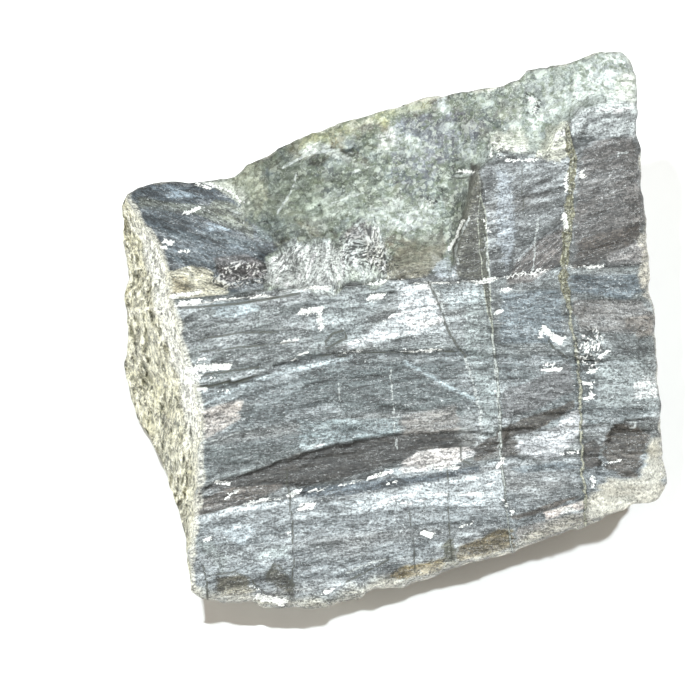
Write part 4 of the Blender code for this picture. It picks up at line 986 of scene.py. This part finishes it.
# ---------------------------------------------------------------------------------------------
# The stone itself: plagioclase feldspar, split along its layers and broken across them. Split, it
# has a satin sheen with fine bright streaks and dark gaps between the layers. Broken, it is a dull
# mass of grains, and altered, a crust of cream crumbs with dirt between them.
# ---------------------------------------------------------------------------------------------
FELDSPAR_IOR = 1.56
# Lengths of the patterns, in mm, along the layers and athwart them. The real streaks, grains and
# sparkles are finer, and these are as coarse as they need to be to show.
STREAK, GAP, CREVICE = (0.5, 0.15), (3.0, 0.5), (1.5, 0.5)
WIDE_SPLIT, WIDE_CRUSHED = (1.3, 0.34), (1.2, 0.9)
SMALL_SPLIT, SMALL_CRUSHED = (0.5, 0.18), (0.45, 0.38)
WHITE_SHARD_SIZE, DARK_SHARD_SIZE, WHITE_TURN, DARK_TURN = (0.36, 0.16), (0.38, 0.17), 62.0, -35.0
GRAIN_SIZE, MOTTLE_SIZE, DUST_SIZE = 0.3 * MM, 0.9 * MM, 0.2 * MM
CRUMPLES = 1100.0                    # crumples along a metre: each is a little under 1 mm long
BUMP_HEIGHT = 0.15 * MM
# Shares of the tone, how calm torn stone is, and the tones that make the stone darkest and lightest.
WIDE_SHARE, SMALL_SHARE, CRUSHED_SHARE, SPARKLE_SHARE = 0.14, 0.18, 0.24, 0.60
CALM, CALM_TONE = 0.45, 0.67
DARK_TONE, LIGHT_TONE, DARKEST, LIGHTEST = 0.51, 0.83, 0.20, 1.11
CRACK_BLUR = 0.06
PALE_RIM, PALE_FILL, OPEN_RIM, OPEN_DARK = "#6b6f66", "#d4dad6", "#b9bdae", "#45473d"
SEAM_RIM, SEAM_FILL, SEAM_OLIVE, HEALED_PALE = "#6a6956", "#bcbda9", "#6c694e", "#d3d9d7"
FLECK_WHITE, DOT_WHITE, GAP_DARK, SILL_PALE = "#f4f8f8", "#f2f6f6", "#3a4142", "#e6ecee"
CREVICE_DIRT, CRUMB_CREAM = "#4d5145", "#fffef2"
WIDE_PALE, WIDE_GREEN, SMALL_PALE, SMALL_SLATE = "#dfe8e4", "#5a665c", "#dfe6d6", "#535f66"
SMALL_OLIVE, VEIN_PALE, GRAIN_PALE, GRAIN_DARK = "#87926f", "#e3eade", "#e4ebe4", "#3f4438"
SHARD_WHITE, SHARD_BLACK, POWDER_WHITE, HAIR_AND_LEDGE_SHADE_DARK = "#f4f4ef", "#2a2c2b", "#f6f7f3", "#3f4139"

material = bpy.data.materials.new("split and broken plagioclase feldspar")
material.use_nodes = True
nodes, wires = material.node_tree.nodes, material.node_tree.links
shader = nodes["Principled BSDF"]


def node(kind, links, **settings):
    """Add a node to the stone, with its settings, its plain values and its links."""
    added = nodes.new("ShaderNode" + kind)
    for name, value in settings.items():
        setattr(added, name, value)
    for socket, value in links.items():
        if isinstance(value, bpy.types.NodeSocket):
            wires.new(value, added.inputs[socket])
        else:
            added.inputs[socket].default_value = value
    return added.outputs


def times(*shares):
    """Shares multiplied together: what shows only where all of them do."""
    product = shares[0]
    for share in shares[1:]:
        product = node("Math", {0: product, 1: share}, operation="MULTIPLY")[0]
    return product


def stained(colour, over, *shares):
    """A colour with another laid over it, as strongly as its shares multiplied together."""
    return node("Mix", {"Factor": times(*shares), 6: colour, 7: linear(over)}, data_type="RGBA")[2]


def past(value, start, end):
    """0 at the start, 1 at the end, and an S-curve between: a soft edge to a mark or a grain."""
    return node("MapRange", {"Value": value, "From Min": start, "From Max": end},
                interpolation_type="SMOOTHSTEP")["Result"]


def near(value, middle, start, end):
    """A thin line where a value is close to a middle one: past, for its distance from it."""
    off_middle = node("Math", {0: value, 1: middle}, operation="SUBTRACT")[0]
    return past(node("Math", {0: off_middle}, operation="ABSOLUTE")[0], start, end)


def lumps_of(place, along, athwart, detail):
    """Noise in lumps of one length along and one athwart."""
    sized = node("Mapping", {"Vector": place, "Scale": (along, athwart, athwart)}, vector_type="TEXTURE")
    return node("TexNoise", {"Vector": sized["Vector"], "Scale": 1.0, "Detail": detail,
                             "Roughness": 0.68})["Fac"]


def chips_of(place, along, athwart, turn):
    """A random number for each of many chips, long ones that lie at an angle to the layers."""
    sized = node("Mapping", {"Vector": place, "Rotation": (0.0, 0.0, math.radians(turn)),
                             "Scale": (along, athwart, athwart)}, vector_type="TEXTURE")
    cells = node("TexVoronoi", {"Vector": sized["Vector"], "Scale": 1.0})["Color"]
    return node("SeparateColor", {"Color": cells})["Red"]


def plates_of(split, crushed):
    """A random number for each small plate. On layered stone it is `split` long and wide, and on
    broken stone `crushed` long and wide, with crumpled edges."""
    on_split, on_broken = [node("Mapping", {"Vector": layer_place, "Scale": (size[0], size[1], size[1])},
                                vector_type="TEXTURE")["Vector"] for size in (split, crushed)]
    on_broken = node("VectorMath", {0: on_broken, 1: crumple}, operation="ADD")["Vector"]
    where = node("Mix", {"Factor": layered_here, 4: on_broken, 5: on_split}, data_type="VECTOR")[1]
    cells = node("TexVoronoi", {"Vector": where, "Scale": 1.0})["Color"]
    return node("SeparateColor", {"Color": cells})["Red"]


tinted = node("Attribute", {}, attribute_name="tint")["Color"]
layer_place = node("Attribute", {}, attribute_name="layer")["Vector"]
place = node("TexCoord", {})["Object"]
kind_here, mark_here, off_crack, crack_width = [
    node("SeparateXYZ", {0: node("Attribute", {}, attribute_name=name)["Vector"]})
    for name in ("kind", "marks", "cracks", "widths")]
layered_here, broken_here, crusted_here = kind_here["X"], kind_here["Y"], kind_here["Z"]
uneven = node("Math", {0: broken_here, 1: crusted_here}, operation="MAXIMUM")[0]

# The pattern that the light picks out: streaks on layered stone, grains and mottles on the rest.
streak = lumps_of(layer_place, *STREAK, 5.0)
grain = lumps_of(place, GRAIN_SIZE, GRAIN_SIZE, 4.0)
mottle = lumps_of(place, MOTTLE_SIZE, MOTTLE_SIZE, 5.0)
gap = lumps_of(layer_place, *GAP, 4.0)
dust = lumps_of(place, DUST_SIZE, DUST_SIZE, 1.0)
crevice = lumps_of(layer_place, *CREVICE, 4.0)
swirl = node("TexNoise", {"Vector": place, "Scale": CRUMPLES, "Detail": 3.0})["Color"]
crumple = node("VectorMath", {0: swirl, "Scale": 2.0}, operation="SCALE")["Vector"]
layered_pattern = node("Mix", {"Factor": 0.5, 2: streak, 3: grain})[0]
grainy_pattern = node("Mix", {"Factor": 0.82, 2: mottle, 3: grain})[0]
pattern = node("Mix", {"Factor": layered_here, 2: grainy_pattern, 3: layered_pattern})[0]

# Its tone adds plates of two sizes and a fine dust of sparkles. Torn stone, which is neither
# layered nor crusted, is calmer.
wide_plates = plates_of(WIDE_SPLIT, WIDE_CRUSHED)
small_plates = plates_of(SMALL_SPLIT, SMALL_CRUSHED)
tone = node("Math", {0: wide_plates, 1: WIDE_SHARE, 2: pattern}, operation="MULTIPLY_ADD")[0]
small_share = node("MapRange", {"Value": uneven, "To Min": SMALL_SHARE, "To Max": CRUSHED_SHARE})["Result"]
tone = node("Math", {0: small_plates, 1: small_share, 2: tone}, operation="MULTIPLY_ADD")[0]
sparkle = node("Math", {0: dust, 1: 0.5}, operation="SUBTRACT")[0]
tone = node("Math", {0: sparkle, 1: SPARKLE_SHARE, 2: tone}, operation="MULTIPLY_ADD")[0]
sheeted = node("Math", {0: layered_here, 1: crusted_here}, operation="MAXIMUM")[0]
torn = node("Math", {0: 1.0, 1: sheeted}, operation="SUBTRACT")[0]
tone = node("Mix", {"Factor": times(torn, CALM), 2: tone, 3: CALM_TONE})[0]
brightness = node("MapRange", {"Value": tone, "From Min": DARK_TONE, "From Max": LIGHT_TONE,
                               "To Min": DARKEST, "To Max": LIGHTEST})["Result"]

# The long cracks, which waver a little: an outer line and an inner one for each stretch.
wavering = times(node("Math", {0: mottle, 1: 0.5}, operation="SUBTRACT")[0], 1.1)
off_long = node("Math", {0: wavering, 1: 0.3, 2: off_crack["X"]}, operation="MULTIPLY_ADD")[0]
off_long = node("Math", {0: off_long}, operation="ABSOLUTE")[0]
off_seam = node("Math", {0: wavering, 1: off_crack["Y"]}, operation="ADD")[0]
off_seam = node("Math", {0: off_seam}, operation="ABSOLUTE")[0]
shown = node("Math", {0: 1.0, 1: uneven}, operation="SUBTRACT")[0]
colour = tinted
for off_line, width, wider, over in (
        (off_long, crack_width["Y"], 0.08, PALE_RIM), (off_long, crack_width["Y"], 0.0, PALE_FILL),
        (off_long, crack_width["X"], 0.12, OPEN_RIM), (off_long, crack_width["X"], 0.0, OPEN_DARK),
        (off_seam, crack_width["Z"], 0.06, SEAM_RIM), (off_seam, crack_width["Z"], 0.0, SEAM_FILL)):
    to_side = node("Math", {0: width, 1: wider}, operation="ADD")[0]
    to_side = node("Math", {0: to_side, 1: off_line}, operation="SUBTRACT")[0]
    colour = stained(colour, over, past(to_side, 0.0, CRACK_BLUR), shown, 0.85)
to_side = node("Math", {0: crack_width["Z"], 1: off_seam}, operation="SUBTRACT")[0]
in_seam = past(to_side, 0.0, CRACK_BLUR)
olive_grains = times(past(grain, 0.60, 0.50), past(crack_width["Z"], 0.16, 0.28))
colour = stained(colour, SEAM_OLIVE, olive_grains, in_seam, shown, 0.85)
pale_line = node("Math", {0: wavering, 1: 0.4, 2: off_crack["Z"]}, operation="MULTIPLY_ADD")[0]
colour = stained(colour, HEALED_PALE, past(pale_line, 0.0, 0.04), 0.65)
colour = node("VectorMath", {0: colour, "Scale": brightness}, operation="SCALE")["Vector"]

# Layered stone: bright flecks and dots where it is pale, dark gaps and their light sills.
pale_stone = past(node("SeparateColor", {"Color": tinted})["Green"], -0.12, 0.22)
colour = stained(colour, FLECK_WHITE, past(streak, 0.63, 0.67), pale_stone, layered_here, 0.7)
colour = stained(colour, DOT_WHITE, past(grain, 0.655, 0.685), pale_stone, layered_here, 0.7)
colour = stained(colour, GAP_DARK, near(gap, 0.5, 0.010, 0.002), layered_here, 0.75)
colour = stained(colour, SILL_PALE, near(gap, 0.57, 0.008, 0.002), pale_stone, layered_here, 0.6)

# Crust: crevices with dirt in them, and cream crumbs.
colour = stained(colour, CREVICE_DIRT, past(crevice, 0.43, 0.37), crusted_here, 0.75)
colour = stained(colour, CRUMB_CREAM, past(grain, 0.60, 0.65), crusted_here, 0.8)

# Broken stone: plates and grains of several colours, and pale veins.
for cells, start, end, strength, over in (
        (wide_plates, 0.84, 0.86, 0.20, WIDE_PALE), (wide_plates, 0.16, 0.14, 0.30, WIDE_GREEN),
        (small_plates, 0.86, 0.88, 0.28, SMALL_PALE), (small_plates, 0.24, 0.22, 0.28, SMALL_SLATE),
        (small_plates, 0.30, 0.28, 0.28, SMALL_OLIVE)):
    colour = stained(colour, over, past(cells, start, end), broken_here, strength)
colour = stained(colour, VEIN_PALE, near(mottle, 0.53, 0.012, 0.003), broken_here, 0.6)
colour = stained(colour, GRAIN_PALE, past(grain, 0.62, 0.66), broken_here, 0.55)
colour = stained(colour, GRAIN_DARK, past(grain, 0.38, 0.33), broken_here, 0.6)

# Marks: white shards and dark grains in the pits, white bruises with painted highlights along
# the ledges, and dark hairlines with the painted shade under the middle ledge.
white_shards = past(chips_of(layer_place, *WHITE_SHARD_SIZE, WHITE_TURN), 0.60, 0.64)
dark_shards = past(chips_of(layer_place, *DARK_SHARD_SIZE, DARK_TURN), 0.52, 0.48)
crushed, pitted = past(mark_here["Z"], 0.5, 0.9), past(mark_here["Z"], 0.0, 0.7)
colour = stained(colour, SHARD_WHITE, white_shards, past(mottle, 0.46, 0.52), crushed, 0.9)
colour = stained(colour, SHARD_BLACK, dark_shards, past(mottle, 0.57, 0.50), pitted, 0.9)
frayed = times(node("Math", {0: tone, 1: 0.66}, operation="SUBTRACT")[0], 0.8)
bruised = past(node("Math", {0: mark_here["X"], 1: frayed}, operation="ADD")[0], 0.0, 0.05)
powder = node("MapRange", {"Value": tone, "From Min": 0.48, "From Max": 0.76,
                           "To Min": 0.30, "To Max": 1.0})["Result"]
colour = stained(colour, POWDER_WHITE, bruised, powder)
hairline_and_shade = node("Math", {0: frayed, 1: 0.4, 2: mark_here["Y"]}, operation="MULTIPLY_ADD")[0]
colour = stained(colour, HAIR_AND_LEDGE_SHADE_DARK, past(hairline_and_shade, 0.0, 0.04), 0.85)

# The sheen: smoother where the pattern is light, rougher in its gaps.
dullness = node("MapRange", {"Value": pattern, "From Min": 0.3, "From Max": 0.7,
                             "To Min": 0.6, "To Max": 0.4})["Result"]
bump = node("Bump", {"Strength": 0.8, "Distance": BUMP_HEIGHT, "Height": pattern})["Normal"]
wires.new(colour, shader.inputs["Base Color"])
wires.new(dullness, shader.inputs["Roughness"])
wires.new(bump, shader.inputs["Normal"])
shader.inputs["IOR"].default_value = FELDSPAR_IOR
mesh.materials.append(material)
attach(lump, "root")
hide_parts("labradorite")

# ---------------------------------------------------------------------------------------------
# Where it lies: on a sheet of white paper. Two small lamps light it from high up, one nearly over
# it and one to its right, and a soft box from low at its left. It is seen square to its big face.
# ---------------------------------------------------------------------------------------------
PAPER_WHITE, LAMP_WHITE, ROOM_TINT = "#fcfcfc", "#f4fcff", "#ffe6cc"
PAPER_SIZE, PAPER_ROUGHNESS = 6.0, 0.9
ROOM_LIGHT = 0.29
LAMP_DISTANCE = 1.0
VIEW_WIDTH = 77.0                    # how much of the breadth is seen where the face's middle is
VIEW_DISTANCE = 1500.0
SENSOR_WIDTH = 36.0

bpy.ops.mesh.primitive_plane_add(size=PAPER_SIZE)
floor = bpy.context.object
floor.name = "floor"
# White paper: matt, it throws light back under the stone and takes its soft shadow.
paper = bpy.data.materials.new("white paper")
paper.use_nodes = True
paper.node_tree.nodes["Principled BSDF"].inputs["Base Color"].default_value = linear(PAPER_WHITE)
paper.node_tree.nodes["Principled BSDF"].inputs["Roughness"].default_value = PAPER_ROUGHNESS
floor.data.materials.append(paper)

scene = bpy.context.scene
scene.view_settings.view_transform = "Standard"
room = bpy.data.worlds.new("studio")
scene.world = room
room.use_nodes = True
room.node_tree.nodes["Background"].inputs["Color"].default_value = linear(ROOM_TINT)
room.node_tree.nodes["Background"].inputs["Strength"].default_value = ROOM_LIGHT

face_middle = stand_up(np.zeros(1), np.zeros(1), np.zeros(1))[0]
face_middle[:2] += shift
aim = Vector(face_middle * MM)


def lamp(name, direction, size, watts):
    """A square lamp, in a direction from the middle of the face and turned towards it."""
    light = bpy.data.lights.new(name, "AREA")
    light.shape = "SQUARE"
    light.size = size
    light.energy = watts
    light.color = linear(LAMP_WHITE)[:3]
    held = bpy.data.objects.new(name, light)
    way = Vector(direction).normalized()
    held.location = aim + way * LAMP_DISTANCE
    held.rotation_euler = (-way).to_track_quat("-Z", "Y").to_euler()
    held.visible_camera = False
    bpy.context.collection.objects.link(held)


lamp("left lamp", (-0.18, 0.0, 1.0), size=0.04, watts=7.6)
lamp("right lamp", (0.5, -0.06, 1.0), size=0.04, watts=8.6)
lamp("soft box", (-1.0, -0.4, 0.28), size=0.6, watts=5.2)

camera = bpy.data.cameras.new("camera")
camera.sensor_width = SENSOR_WIDTH
camera.lens = SENSOR_WIDTH * VIEW_DISTANCE / VIEW_WIDTH
camera.clip_end = 10.0
eye = bpy.data.objects.new("camera", camera)
look = Vector((0.0, -math.cos(FACE_PITCH), math.sin(FACE_PITCH)))
eye.location = aim + look * VIEW_DISTANCE * MM
eye.rotation_euler = (-look).to_track_quat("-Z", "Y").to_euler()
bpy.context.collection.objects.link(eye)
scene.camera = eye
